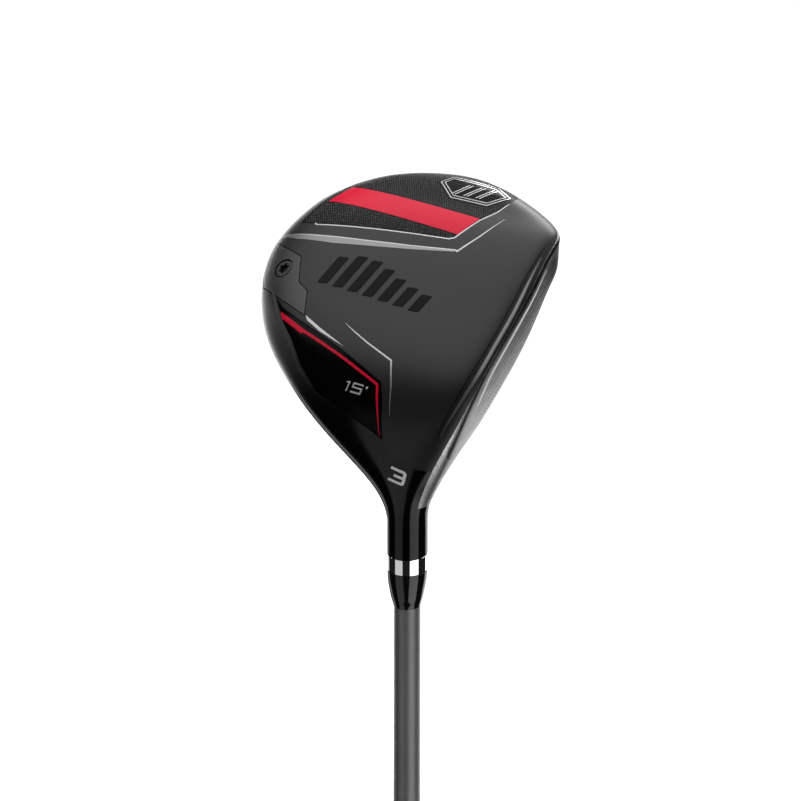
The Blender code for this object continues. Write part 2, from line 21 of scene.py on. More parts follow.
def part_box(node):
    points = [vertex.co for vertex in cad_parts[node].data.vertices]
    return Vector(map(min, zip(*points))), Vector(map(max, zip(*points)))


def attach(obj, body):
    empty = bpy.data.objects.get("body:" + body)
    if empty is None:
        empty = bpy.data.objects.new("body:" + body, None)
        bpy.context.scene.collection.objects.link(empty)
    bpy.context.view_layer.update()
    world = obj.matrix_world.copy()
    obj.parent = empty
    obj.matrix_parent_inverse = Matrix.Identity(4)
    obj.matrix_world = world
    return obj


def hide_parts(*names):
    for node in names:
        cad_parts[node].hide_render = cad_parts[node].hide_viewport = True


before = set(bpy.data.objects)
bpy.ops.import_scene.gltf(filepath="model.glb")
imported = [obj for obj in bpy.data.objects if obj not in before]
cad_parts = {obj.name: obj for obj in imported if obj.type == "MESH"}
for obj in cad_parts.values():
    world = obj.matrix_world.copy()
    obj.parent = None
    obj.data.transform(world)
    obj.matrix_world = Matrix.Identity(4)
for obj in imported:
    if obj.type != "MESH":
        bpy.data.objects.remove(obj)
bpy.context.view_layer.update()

MM = 0.001
CLUB_LENGTH = 1092 * MM
LIE = math.radians(57)
LOFT = math.radians(15)
HOSEL_TOP = 59.8 * MM

log = logging.getLogger("fairway_wood")

Point2 = tuple[float, float]
Outline = Sequence[Point2]
Colour = tuple[float, float, float]

# Turns the head from address to head up
HEAD_UP = Matrix(((1, 0, 0, 0),
                  (0, -math.sin(LIE), math.cos(LIE), 0),
                  (0, -math.cos(LIE), -math.sin(LIE), CLUB_LENGTH),
                  (0, 0, 0, 1)))
SOLE_VIEW = Matrix.Rotation(math.pi, 4, "X")        # Z down, out of the sole
CROWN_VIEW = Matrix.Identity(4)                     # Z up, out of the crown
FACE_VIEW = Matrix(((0, 0, 1, 0), (1, 0, 0, 0), (0, 1, 0, 0), (0, 0, 0, 1)))


class Body(Enum):
    """The moving bodies of the frame."""

    CLUB = "club"
    WEIGHT = "rear_weight"
    SCREW = "screw"


class Cut(Enum):
    """What a boolean does."""

    AWAY = "DIFFERENCE"
    KEEP = "INTERSECT"
    JOIN = "UNION"


# ======================================================================== finishes
class Board:
    """A material's node tree, with short ways to add to it."""

    def __init__(self, name: str) -> None:
        """Makes an empty material round one Principled shader."""
        self.material = bpy.data.materials.new(name)
        self.material.use_nodes = True
        self.tree = self.material.node_tree
        self.shader = self.tree.nodes["Principled BSDF"]
        self.coords = self.add("ShaderNodeTexCoord").outputs["Object"]

    def add(self, kind: str, inputs: dict | None = None, **settings) -> bpy.types.Node:
        """Adds a node.

        Args:
            kind: the node's type.
            inputs: socket name or index to a value or to another node's output.
            settings: the node's own properties.

        Returns:
            The node.
        """
        node = self.tree.nodes.new(kind)
        for key, value in settings.items():
            setattr(node, key, value)
        for key, value in (inputs or {}).items():
            if isinstance(value, bpy.types.NodeSocket):
                self.tree.links.new(value, node.inputs[key])
            else:
                node.inputs[key].default_value = value
        return node

    def stretched(self, scale: Sequence[float], turn: float = 0.0) -> bpy.types.NodeSocket:
        """Object coordinates turned about X and stretched."""
        node = self.add("ShaderNodeMapping", {"Vector": self.coords, "Rotation": (turn, 0, 0),
                                              "Scale": scale})
        return node.outputs["Vector"]

    def noise(self, scale: float, detail: float = 3.0, where: bpy.types.NodeSocket | None = None,
              sharpness: float = 0.55) -> bpy.types.NodeSocket:
        """Noise from 0 to 1, at this many features in a metre."""
        node = self.add("ShaderNodeTexNoise", {"Vector": where or self.coords, "Scale": scale,
                                               "Detail": detail, "Roughness": sharpness})
        return node.outputs["Fac"]

    def ranged(self, value: bpy.types.NodeSocket, low: float, high: float, to_low: float = 0.0,
               to_high: float = 1.0) -> bpy.types.NodeSocket:
        """The value carried smoothly from one range to another, and held at its ends."""
        node = self.add("ShaderNodeMapRange", {"Value": value, "From Min": low, "From Max": high,
                                               "To Min": to_low, "To Max": to_high},
                        interpolation_type="SMOOTHSTEP")
        return node.outputs["Result"]

    def blend(self, share: bpy.types.NodeSocket, first: object, second: object) -> bpy.types.NodeSocket:
        """One colour or number turning into another."""
        numbers = isinstance(first, float) or (isinstance(first,
                                                          bpy.types.NodeSocket) and first.type == "VALUE")
        node = self.add("ShaderNodeMix", data_type="FLOAT" if numbers else "RGBA")
        a, b, out = (2, 3, 0) if numbers else (6, 7, 2)
        self.tree.links.new(share, node.inputs[0])
        for index, value in ((a, first), (b, second)):
            if isinstance(value, bpy.types.NodeSocket):
                self.tree.links.new(value, node.inputs[index])
            else:
                node.inputs[index].default_value = value if numbers else (*value, 1.0)
        return node.outputs[out]

    def math(self, operation: str, a: object, b: object = 0.0) -> bpy.types.NodeSocket:
        """A sum, product or comparison of two values."""
        return self.add("ShaderNodeMath", {0: a, 1: b}, operation=operation).outputs[0]

    def attribute(self, name: str) -> bpy.types.NodeSocket:
        """A number stored at the mesh's points."""
        return self.add("ShaderNodeAttribute", attribute_name=name).outputs["Fac"]

    def bumps(self, height: bpy.types.NodeSocket, strength: float, depth: float) -> None:
        """Small relief on the whole surface."""
        node = self.add("ShaderNodeBump", {"Height": height, "Strength": strength, "Distance": depth})
        self.tree.links.new(node.outputs["Normal"], self.shader.inputs["Normal"])

    def drive(self, socket: str, value: object) -> None:
        """Sets or links one of the shader's inputs."""
        if isinstance(value, bpy.types.NodeSocket):
            self.tree.links.new(value, self.shader.inputs[socket])
        else:
            self.shader.inputs[socket].default_value = (*value, 1.0) if isinstance(value, tuple) else value


@dataclass(frozen=True)
class Finish:
    """A surface whose colour, roughness and relief all vary a little, as handled ones do, and whose colour
    can carry a painted shade that darkens it with height.
    """

    name: str
    colour: Colour
    worn: Colour
    roughness: Point2
    metallic: float = 0.0
    grain: float = 1500.0
    stretch: tuple[float, float, float] = (1.0, 1.0, 1.0)
    turn: float = 0.0
    relief: float = 0.15
    relief_depth: float = 0.00002
    scuffs: float = 0.06
    coat: float = 0.0
    specular: float = 0.5
    # painted shade: between these two heights the colour darkens to the worn colour times the share
    painted_shade_by_height: tuple[float, float, float] = (0.0, 1.0, 1.0)
    # edge tint at the low and the high height; with the painted shade it dims the grazing reflection higher
    # up
    edge_tint: Point2 = (1.0, 1.0)

    def build(self) -> bpy.types.Material:
        """Makes the material."""
        board = Board(self.name)
        where = board.stretched(self.stretch, self.turn)
        grain = board.noise(self.grain, 4.0, where)
        cloud = board.noise(38.0, 3.0)
        tint = board.math("MULTIPLY", board.ranged(cloud, 0.3, 0.75), board.ranged(grain, 0.3, 0.7))
        colour = board.blend(tint, self.colour, self.worn)
        # Painted shade: higher up, the colour darkens and the edge tint falls
        low, high, share = self.painted_shade_by_height
        if share < 1.0:
            height = board.add("ShaderNodeSeparateXYZ", {0: board.coords}).outputs["Z"]
            dark = tuple(channel * share for channel in self.worn)
            upward = board.ranged(height, low, high)
            colour = board.blend(upward, colour, dark)
            board.drive("Specular Tint", board.blend(upward, *((level,) * 3 for level in self.edge_tint)))
        board.drive("Base Color", colour)
        scratch = board.noise(260.0, 2.0, board.stretched((1.0, 14.0, 9.0), 0.6))
        marks = board.ranged(scratch, 0.62, 0.72, 0.0, self.scuffs)
        base = board.ranged(grain, 0.25, 0.75, self.roughness[0], self.roughness[1])
        board.drive("Roughness", board.math("ADD", base, marks))
        board.drive("Metallic", self.metallic)
        board.drive("Specular IOR Level", self.specular)
        board.drive("Coat Weight", self.coat)
        board.drive("Coat Roughness", 0.05)
        board.bumps(grain, self.relief, self.relief_depth)
        return board.material


@dataclass(frozen=True)
class HeadPaint:
    """The cast body: satin grey paint, gloss black round the neck, bare steel beside the face, a painted
    highlight on the skirt and painted shade where the gloss fades in.
    """

    name: str = "head_paint"
    satin: Colour = (0.024, 0.024, 0.025)
    satin_worn: Colour = (0.036, 0.036, 0.037)
    # painted highlight: the lighter grey laid on the skirt
    skirt: Colour = (0.105, 0.105, 0.107)
    gloss: Colour = (0.0015, 0.0015, 0.0018)
    steel: Colour = (0.42, 0.42, 0.425)
    steel_dark: Colour = (0.32, 0.32, 0.325)
    satin_roughness: Point2 = (0.34, 0.42)
    gloss_roughness: Point2 = (0.11, 0.14)
    steel_roughness: Point2 = (0.38, 0.48)
    edge: float = 0.10

    def build(self) -> bpy.types.Material:
        """Makes the material. It reads the signed distances, in millimetres, stored on the mesh."""
        board = Board(self.name)
        flake = board.noise(5200.0, 1.0)
        cloud = board.noise(34.0, 3.0)
        brushed = board.noise(900.0, 4.0, board.stretched((1.0, 0.05, 1.0), -LIE))
        satin = board.blend(board.math("MULTIPLY", board.ranged(flake, 0.45, 0.8),
                                       board.ranged(cloud, 0.2, 0.8)),
                            self.satin, self.satin_worn)
        steel = board.blend(board.ranged(brushed, 0.3, 0.7), self.steel, self.steel_dark)
        neck = board.ranged(board.attribute("neck_edge"), -self.edge, self.edge)
        # Painted shade: the neck's gloss black fades in slowly across the skirt, darker towards the neck.
        faded = board.math("MULTIPLY", neck, board.attribute("neck_fade"))
        black = board.math("MAXIMUM", faded, board.attribute("top_side"))
        bare = board.ranged(board.attribute("face_edge"), -self.edge, self.edge)
        # Painted highlight: lighter grey on the skirt.
        satin = board.blend(board.attribute("skirt_light"), satin, self.skirt)
        colour = board.blend(black, satin, self.gloss)
        board.drive("Base Color", board.blend(bare, colour, steel))
        rough = board.blend(black, board.ranged(flake, 0.3, 0.7, *self.satin_roughness),
                            board.ranged(cloud, 0.3, 0.7, *self.gloss_roughness))
        rough = board.blend(bare, rough, board.ranged(brushed, 0.3, 0.7, *self.steel_roughness))
        board.drive("Roughness", rough)
        board.drive("Specular IOR Level", 0.26)
        metal = board.blend(black, 0.5, 0.0)
        board.drive("Metallic", board.blend(bare, metal, 1.0))
        board.bumps(board.blend(bare, board.math("MULTIPLY", flake, 0.35), brushed), 0.12, 0.00002)
        return board.material


def along_face(scale: float) -> dict:
    """Settings for a grain that runs from heel to toe."""
    return {"grain": scale, "stretch": (1.0, 0.05, 1.0), "turn": -LIE}


class Palette:
    """Every finish on the club, made once."""

    def __init__(self) -> None:
        """Makes the materials."""
        self.head = HeadPaint().build()
        # The face steel carries a painted shade: darker towards the toe, with less edge tint there.
        self.face = Finish("face_steel", (0.28, 0.28, 0.285), (0.20, 0.20, 0.205), (0.26, 0.38), 1.0,
                           relief=0.25, scuffs=0.12, painted_shade_by_height=(1.06, 1.115, 0.36), edge_tint=(0.75, 0.22),
                           **along_face(1100.0)).build()
        self.crown = Finish("crown_lacquer", (0.0045, 0.0045, 0.005), (0.009, 0.009, 0.010), (0.05, 0.08),
                            grain=4200.0, relief=0.02, scuffs=0.03, coat=0.6).build()
        self.gloss = Finish("gloss_black", (0.004, 0.004, 0.0045), (0.007, 0.007, 0.008), (0.07, 0.11),
                            grain=900.0, relief=0.03, scuffs=0.05).build()
        self.pocket = Finish("pocket_black", (0.0012, 0.0012, 0.0014), (0.003, 0.003, 0.0033), (0.16, 0.22),
                             grain=900.0, relief=0.03, scuffs=0.05, specular=0.06).build()
        self.textured = Finish("textured_black", (0.002, 0.0022, 0.0022), (0.004, 0.0042, 0.0042), (0.34,
                                                                                                    0.46),
                               grain=2600.0, relief=0.35, specular=0.08).build()
        self.stud = Finish("stud_grey", (0.020, 0.021, 0.021), (0.028, 0.029, 0.029), (0.30, 0.40),
                           grain=2600.0, specular=0.3).build()
        self.red = Finish("red_enamel", (0.68, 0.006, 0.036), (0.58, 0.005, 0.030), (0.28, 0.36),
                          0.0, grain=2400.0, relief=0.06, specular=0.12).build()
        self.silver = Finish("silver_paint", (0.20, 0.20, 0.205), (0.16, 0.16, 0.165), (0.34, 0.42), 0.75,
                             grain=4200.0).build()
        self.bright = Finish("bright_silver", (0.40, 0.40, 0.41), (0.32, 0.32, 0.33), (0.26, 0.34), 0.6,
                             grain=4200.0).build()
        self.mark = Finish("mark_grey", (0.48, 0.48, 0.485), (0.40, 0.40, 0.405), (0.40, 0.48),
                           grain=3600.0, specular=0.2).build()
        self.number = Finish("number_grey", (0.85, 0.85, 0.855), (0.74, 0.74, 0.745), (0.40, 0.48),
                             grain=3600.0, specular=0.2).build()
        self.plate = Finish("plate_satin", (0.056, 0.056, 0.057), (0.068, 0.068, 0.069), (0.34, 0.42), 0.5,
                            grain=5200.0, relief=0.12, specular=0.3).build()
        # painted highlight: the light grey of the bead along the leading edge stands for light on its ridge
        self.bead = Finish("bead_satin", (0.17, 0.17, 0.173), (0.14, 0.14, 0.142), (0.30, 0.38), 0.7,
                           grain=5200.0, relief=0.12).build()
        # painted highlight: the light grey standing for the light on the pocket's bevelled rim
        self.edge = Finish("edge_satin", (0.085, 0.085, 0.087), (0.105, 0.105, 0.107), (0.34, 0.42), 0.5,
                           grain=5200.0, relief=0.12, specular=0.3).build()
        self.tungsten = Finish("tungsten", (0.16, 0.16, 0.165), (0.11, 0.11, 0.115), (0.32, 0.44), 0.85,
                               grain=2600.0, relief=0.25, scuffs=0.12).build()
        self.chrome = Finish("bright_chrome", (0.86, 0.86, 0.87), (0.80, 0.80, 0.81), (0.035, 0.06), 1.0,
                             grain=260.0, relief=0.01, scuffs=0.03).build()
        self.shaft = Finish("shaft_grey", (0.17, 0.17, 0.173), (0.145, 0.145, 0.148), (0.34, 0.42), 0.25,
                            grain=2200.0, stretch=(1.0, 1.0, 0.08), relief=0.08, coat=0.1).build()
        self.foam = Finish("foam", (0.62, 0.50, 0.32), (0.50, 0.40, 0.25), (0.8, 0.95), grain=900.0,
                           relief=0.8, relief_depth=0.0002).build()
        self.tape = Finish("tape", (0.70, 0.66, 0.52), (0.60, 0.56, 0.44), (0.7, 0.85), grain=1300.0,
                           relief=0.4).build()
        self.rubber = Finish("rubber", (0.014, 0.014, 0.015), (0.026, 0.026, 0.026), (0.62, 0.80),
                             grain=1900.0, relief=0.6, relief_depth=0.00006, scuffs=0.1).build()
        self.cap = Finish("cap_rubber", (0.020, 0.020, 0.021), (0.030, 0.030, 0.030), (0.55, 0.70),
                          grain=1900.0, relief=0.4).build()


# ======================================================================== outlines
def area(outline: Outline) -> float:
    """Signed area, positive for an anticlockwise outline."""
    pairs = zip(outline, [*outline[1:], outline[0]])
    return 0.5 * sum(a[0] * b[1] - b[0] * a[1] for a, b in pairs)


def anticlockwise(outline: Outline) -> list[Point2]:
    """The outline, turned round if it runs clockwise."""
    return list(outline) if area(outline) > 0 else list(outline)[::-1]


def grown(outline: Outline, distance: float) -> list[Point2]:
    """An anticlockwise outline moved out by a distance, or in by a negative one."""
    moved = []
    count = len(outline)
    for i, point in enumerate(outline):
        here = Vector(point)
        before = (here - Vector(outline[i - 1])).normalized()
        after = (Vector(outline[(i + 1) % count]) - here).normalized()
        out = Vector((before.y + after.y, -before.x - after.x)).normalized()
        reach = distance / max(out.dot(Vector((before.y, -before.x))), 0.35)
        moved.append(tuple(here + out * reach))
    return moved


def subdivided(outline: Outline, step: float) -> list[Point2]:
    """The outline with points no further apart than the step."""
    found = []
    for a, b in zip(outline, [*outline[1:], outline[0]]):
        pieces = max(1, math.ceil(math.dist(a, b) / step))
        found += [(a[0] + (b[0] - a[0]) * k / pieces,
                   a[1] + (b[1] - a[1]) * k / pieces) for k in range(pieces)]
    return found


def stroke(line: Outline, widths: Sequence[float]) -> list[Point2]:
    """The outline of a line drawn with a width at each of its points."""
    left, right = [], []
    for i, point in enumerate(line):
        here = Vector(point)
        before = (here - Vector(line[i - 1])).normalized() if i else None
        after = (Vector(line[i + 1]) - here).normalized() if i + 1 < len(line) else None
        way = ((before or after) + (after or before)).normalized()
        side = Vector((-way.y, way.x))
        reach = widths[i] / 2 / max(side.dot(Vector((-(after or before).y, (after or before).x))), 0.5)
        left.append(tuple(here + side * reach))
        right.append(tuple(here - side * reach))
    return left + right[::-1]


def softened(line: Outline, widths: Sequence[float]) -> tuple[list[Point2], list[float]]:
    """The line and its widths with the corners cut three times over, so that it runs smoothly."""
    rows = [np.array((*point, width)) for point, width in zip(line, widths)]
    for _ in range(3):
        cut = [rows[0]]
        for a, b in zip(rows[:-1], rows[1:]):
            cut += [0.75 * a + 0.25 * b, 0.25 * a + 0.75 * b]
        rows = [*cut, rows[-1]]
    return [(row[0], row[1]) for row in rows], [row[2] for row in rows]


def sole(outline: Outline) -> list[Point2]:
    """An outline drawn in plan in millimetres, as the sole view holds it in metres."""
    return anticlockwise([(x * MM, -y * MM) for x, y in outline])


def left_of(line: Outline, points: np.ndarray) -> np.ndarray:
    """Signed distance of each point from an open line, positive on the left of its way back."""
    best = np.full(len(points), np.inf)
    signs = np.ones(len(points))
    for a, b in zip(np.array(line[:-1]), np.array(line[1:])):
        way = b - a
        offset = points - a
        share = np.clip(offset @ way / (way @ way), 0, 1)
        distance = np.linalg.norm(offset - share[:, None] * way, axis=1)
        side = way[1] * offset[:, 0] - way[0] * offset[:, 1]
        nearer = distance < best - 1e-9
        best[nearer] = distance[nearer]
        signs[nearer] = np.sign(side[nearer])
    return best * signs


# ======================================================================== solids
class Solid:
    """A closed mesh under construction."""

    made: list["Solid"] = []

    def __init__(self, name: str, points: Sequence[Sequence[float]],
                 faces: Sequence[Sequence[int]]) -> None:
        """Makes the mesh object from points and faces that look outwards."""
        mesh = bpy.data.meshes.new(name)
        mesh.from_pydata([tuple(p) for p in points], [], faces)
        self.obj = bpy.data.objects.new(name, mesh)
        bpy.context.scene.collection.objects.link(self.obj)
        Solid.made.append(self)

    def apply(self, cut: Cut, *others: "Solid") -> "Solid":
        """Cuts away, keeps or joins the other solids, one by one."""
        for other in others:
            modifier = self.obj.modifiers.new("boolean", "BOOLEAN")
            modifier.operation = cut.value
            modifier.object = other.obj
            modifier.solver = "MANIFOLD"
            settle(self.obj)
            if not self.obj.data.polygons:
                log.warning("%s: nothing is left after %s %s", self.obj.name, cut.name, other.obj.name)
        return self

    def points(self) -> np.ndarray:
        """The mesh's points, one to a row."""
        found = np.empty(len(self.obj.data.vertices) * 3, np.float32)
        self.obj.data.vertices.foreach_get("co", found)
        return found.reshape(-1, 3).astype(float)

    @classmethod
    def discard(cls) -> None:
        """Removes every solid that didn't become a piece."""
        for solid in cls.made:
            if solid.obj is not None:
                mesh = solid.obj.data
                bpy.data.objects.remove(solid.obj)
                bpy.data.meshes.remove(mesh)
        cls.made.clear()


def settle(obj: bpy.types.Object) -> None:
    """Turns an object and its modifiers into a plain mesh."""
    graph = bpy.context.evaluated_depsgraph_get()
    mesh = bpy.data.meshes.new_from_object(obj.evaluated_get(graph))
    old, obj.data = obj.data, mesh
    obj.modifiers.clear()
    bpy.data.meshes.remove(old)


def tube_faces(rings: int, sides: int, closed: bool) -> list[tuple[int, ...]]:
    """Quads between neighbouring rings; a closed tube's last ring meets its first."""
    faces = []
    for i in range(rings if closed else rings - 1):
        a, b = i * sides, (i + 1) % rings * sides
        faces += [(a + j, a + (j + 1) % sides, b + (j + 1) % sides, b + j) for j in range(sides)]
    return faces


def prism(name: str, outline: Outline, view: Matrix, low: float, high: float) -> Solid:
    """An outline in the view's XY plane as a solid from low to high along its Z."""
    outline = anticlockwise(outline)
    count = len(outline)
    points = [view @ Vector((x, y, z)) for z in (low, high) for x, y in outline]
    faces = [tuple(range(count - 1, -1, -1)), tuple(range(count, 2 * count))]
    return Solid(name, points, faces + tube_faces(2, count, closed=False))


def turned(name: str, profile: Outline, placed: Matrix = Matrix(), sides: int = 96) -> Solid:
    """A solid turned about Z, from (radius, z) corners that run anticlockwise with the radius to the right.

    Args:
        name: the object's name.
        profile: open where it starts and ends on the axis, and a ring where it doesn't.
        placed: where the axis and the origin go.
        sides: facets round it.

    Returns:
        The solid.
    """
    on_axis = profile[0][0] == 0
    rim = profile[1:-1] if on_axis else profile
    turn = [(math.cos(2 * math.pi * k / sides), math.sin(2 * math.pi * k / sides)) for k in range(sides)]
    points = [Vector((r * c, r * s, z)) for r, z in rim for c, s in turn]
    faces = tube_faces(len(rim), sides, closed=not on_axis)
    if on_axis:
        bottom, top, last = len(points), len(points) + 1, (len(rim) - 1) * sides
        points += [Vector((0, 0, profile[0][1])), Vector((0, 0, profile[-1][1]))]
        faces += [(bottom, (k + 1) % sides, k) for k in range(sides)]
        faces += [(top, last + k, last + (k + 1) % sides) for k in range(sides)]
    return Solid(name, [placed @ p for p in points], faces)


def present(solid: Solid, material: bpy.types.Material, body: Body, slot: str, *nodes: str,
            head: bool = True, crease: float = 30.0) -> bpy.types.Object:
    """Turns a solid into a finished piece that rides on a body.

    Args:
        solid: the mesh, in the head's address frame or in the world's.
        material: its finish.
        body: what it moves with.
        slot: the record's material slot; not used.
        nodes: the CAD nodes it stands for.
        head: whether it has to be turned head up.
        crease: the angle in degrees past which an edge is sharp.

    Returns:
        The piece.
    """
    obj, solid.obj = solid.obj, None
    mesh = obj.data
    if head:
        mesh.transform(HEAD_UP)
    mesh.polygons.foreach_set("use_smooth", [True] * len(mesh.polygons))
    mesh.set_sharp_from_angle(angle=math.radians(crease))
    mesh.materials.clear()
    mesh.materials.append(material)
    mesh.polygons.foreach_set("material_index", [0] * len(mesh.polygons))
    mesh.update()
    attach(obj, body.value)
    if nodes:
        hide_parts(*nodes)
    log.info("%-22s %6d faces, rides on %s", obj.name, len(mesh.polygons), body.value)
    return obj


# ======================================================================== geometry nodes
class Tool(Enum):
    """The shape that a pattern repeats."""

    BAR = "GeometryNodeMeshCube"
    PIN = "GeometryNodeMeshCylinder"
    STUD = "GeometryNodeMeshCone"


class Pattern:
    """A geometry node tree that repeats one small shape."""

    def __init__(self, name: str) -> None:
        """Makes a tree with a geometry input, a geometry output and a material input."""
        self.tree = bpy.data.node_groups.new(name, "GeometryNodeTree")
        face = self.tree.interface
        face.new_socket("Geometry", in_out="INPUT", socket_type="NodeSocketGeometry")
        face.new_socket("Geometry", in_out="OUTPUT", socket_type="NodeSocketGeometry")
        self.values: dict[str, object] = {}
        self.source = self.tree.nodes.new("NodeGroupInput")
        self.sink = self.tree.nodes.new("NodeGroupOutput")

    def value(self, name: str, kind: str, value: object) -> bpy.types.NodeSocket:
        """Adds a named input with the value it will be set to, and returns it as a socket to link from."""
        self.tree.interface.new_socket(name, in_out="INPUT", socket_type=f"NodeSocket{kind}")
        self.values[name] = value
        return self.source.outputs[name]

    def add(self, kind: str, inputs: dict | None = None, **settings) -> bpy.types.Node:
        """Adds a node; inputs map a socket's name or index to a value or a socket."""
        node = self.tree.nodes.new(kind)
        for key, value in settings.items():
            setattr(node, key, value)
        for key, value in (inputs or {}).items():
            if isinstance(value, bpy.types.NodeSocket):
                self.tree.links.new(value, node.inputs[key])
            else:
                node.inputs[key].default_value = value
        return node

    def shape(self, tool: Tool, size: bpy.types.NodeSocket, height: bpy.types.NodeSocket,
              length: bpy.types.NodeSocket | None = None) -> bpy.types.NodeSocket:
        """The repeated shape, standing on the origin's plane and centred on it."""
        if tool is Tool.BAR:
            block = self.add("ShaderNodeCombineXYZ", {0: length, 1: size, 2: height})
            node = self.add(tool.value, {"Size": block.outputs[0]})
        elif tool is Tool.PIN:
            node = self.add(tool.value, {"Vertices": 8, "Radius": size, "Depth": height})
        else:
            tip = self.add("ShaderNodeMath", {0: size, 1: 0.45}, operation="MULTIPLY")
            node = self.add(tool.value, {"Vertices": 8, "Radius Top": tip.outputs[0], "Radius Bottom": size,
                                         "Depth": height})
        return node.outputs["Mesh"]

    def finish(self, name: str, instances: bpy.types.NodeSocket) -> Solid:
        """Ends the tree, runs it and returns its mesh.

        Args:
            name: the object's name.
            instances: what the tree has made.

        Returns:
            The pattern as one plain mesh.
        """
        material = self.value("Material", "Material", bpy.data.materials.get("textured_black"))
        real = self.add("GeometryNodeRealizeInstances", {"Geometry": instances})
        dressed = self.add("GeometryNodeSetMaterial", {"Geometry": real.outputs[0], "Material": material})
        self.tree.links.new(dressed.outputs[0], self.sink.inputs[0])
        solid = Solid(name, [(0, 0, 0)], [])
        modifier = solid.obj.modifiers.new("pattern", "NODES")
        modifier.node_group = self.tree
        for item in self.tree.interface.items_tree:
            if item.in_out == "INPUT" and item.name in self.values:
                modifier[item.identifier] = self.values[item.name]
        settle(solid.obj)
        return solid


@dataclass(frozen=True)
class Rows:
    """Rows of one shape on a flat grid, as for score lines, dots and brushed ribs."""

    name: str
    tool: Tool
    counts: tuple[int, int]
    pitch: Point2
    size: float
    height: float
    length: float = 0.0

    def build(self, placed: Matrix) -> Solid:
        """Runs the pattern and puts it in place.

        Args:
            placed: carries the grid's plane to where the pattern goes.

        Returns:
            The pattern.
        """
        pattern = Pattern(self.name)
        columns, rows = (pattern.value(n, "Int", v) for n, v in zip(("Columns", "Rows"), self.counts))
        spans = [(count - 1) * pitch for count, pitch in zip(self.counts, self.pitch)]
        width, depth = (pattern.value(n, "Float", v) for n, v in zip(("Width", "Depth"), spans))
        size = pattern.value("Size", "Float", self.size)
        height = pattern.value("Height", "Float", self.height)
        length = pattern.value("Length", "Float", self.length)
        grid = pattern.add("GeometryNodeMeshGrid", {"Size X": width, "Size Y": depth, "Vertices X": columns,
                                                    "Vertices Y": rows})
        shape = pattern.shape(self.tool, size, height, length)
        copies = pattern.add("GeometryNodeInstanceOnPoints", {"Points": grid.outputs["Mesh"],
                                                              "Instance": shape})
        solid = pattern.finish(self.name, copies.outputs[0])
        solid.obj.data.transform(placed)
        return solid


STAGGERED_ROW = 0.866          # spacing of staggered rows, as a share of the pitch


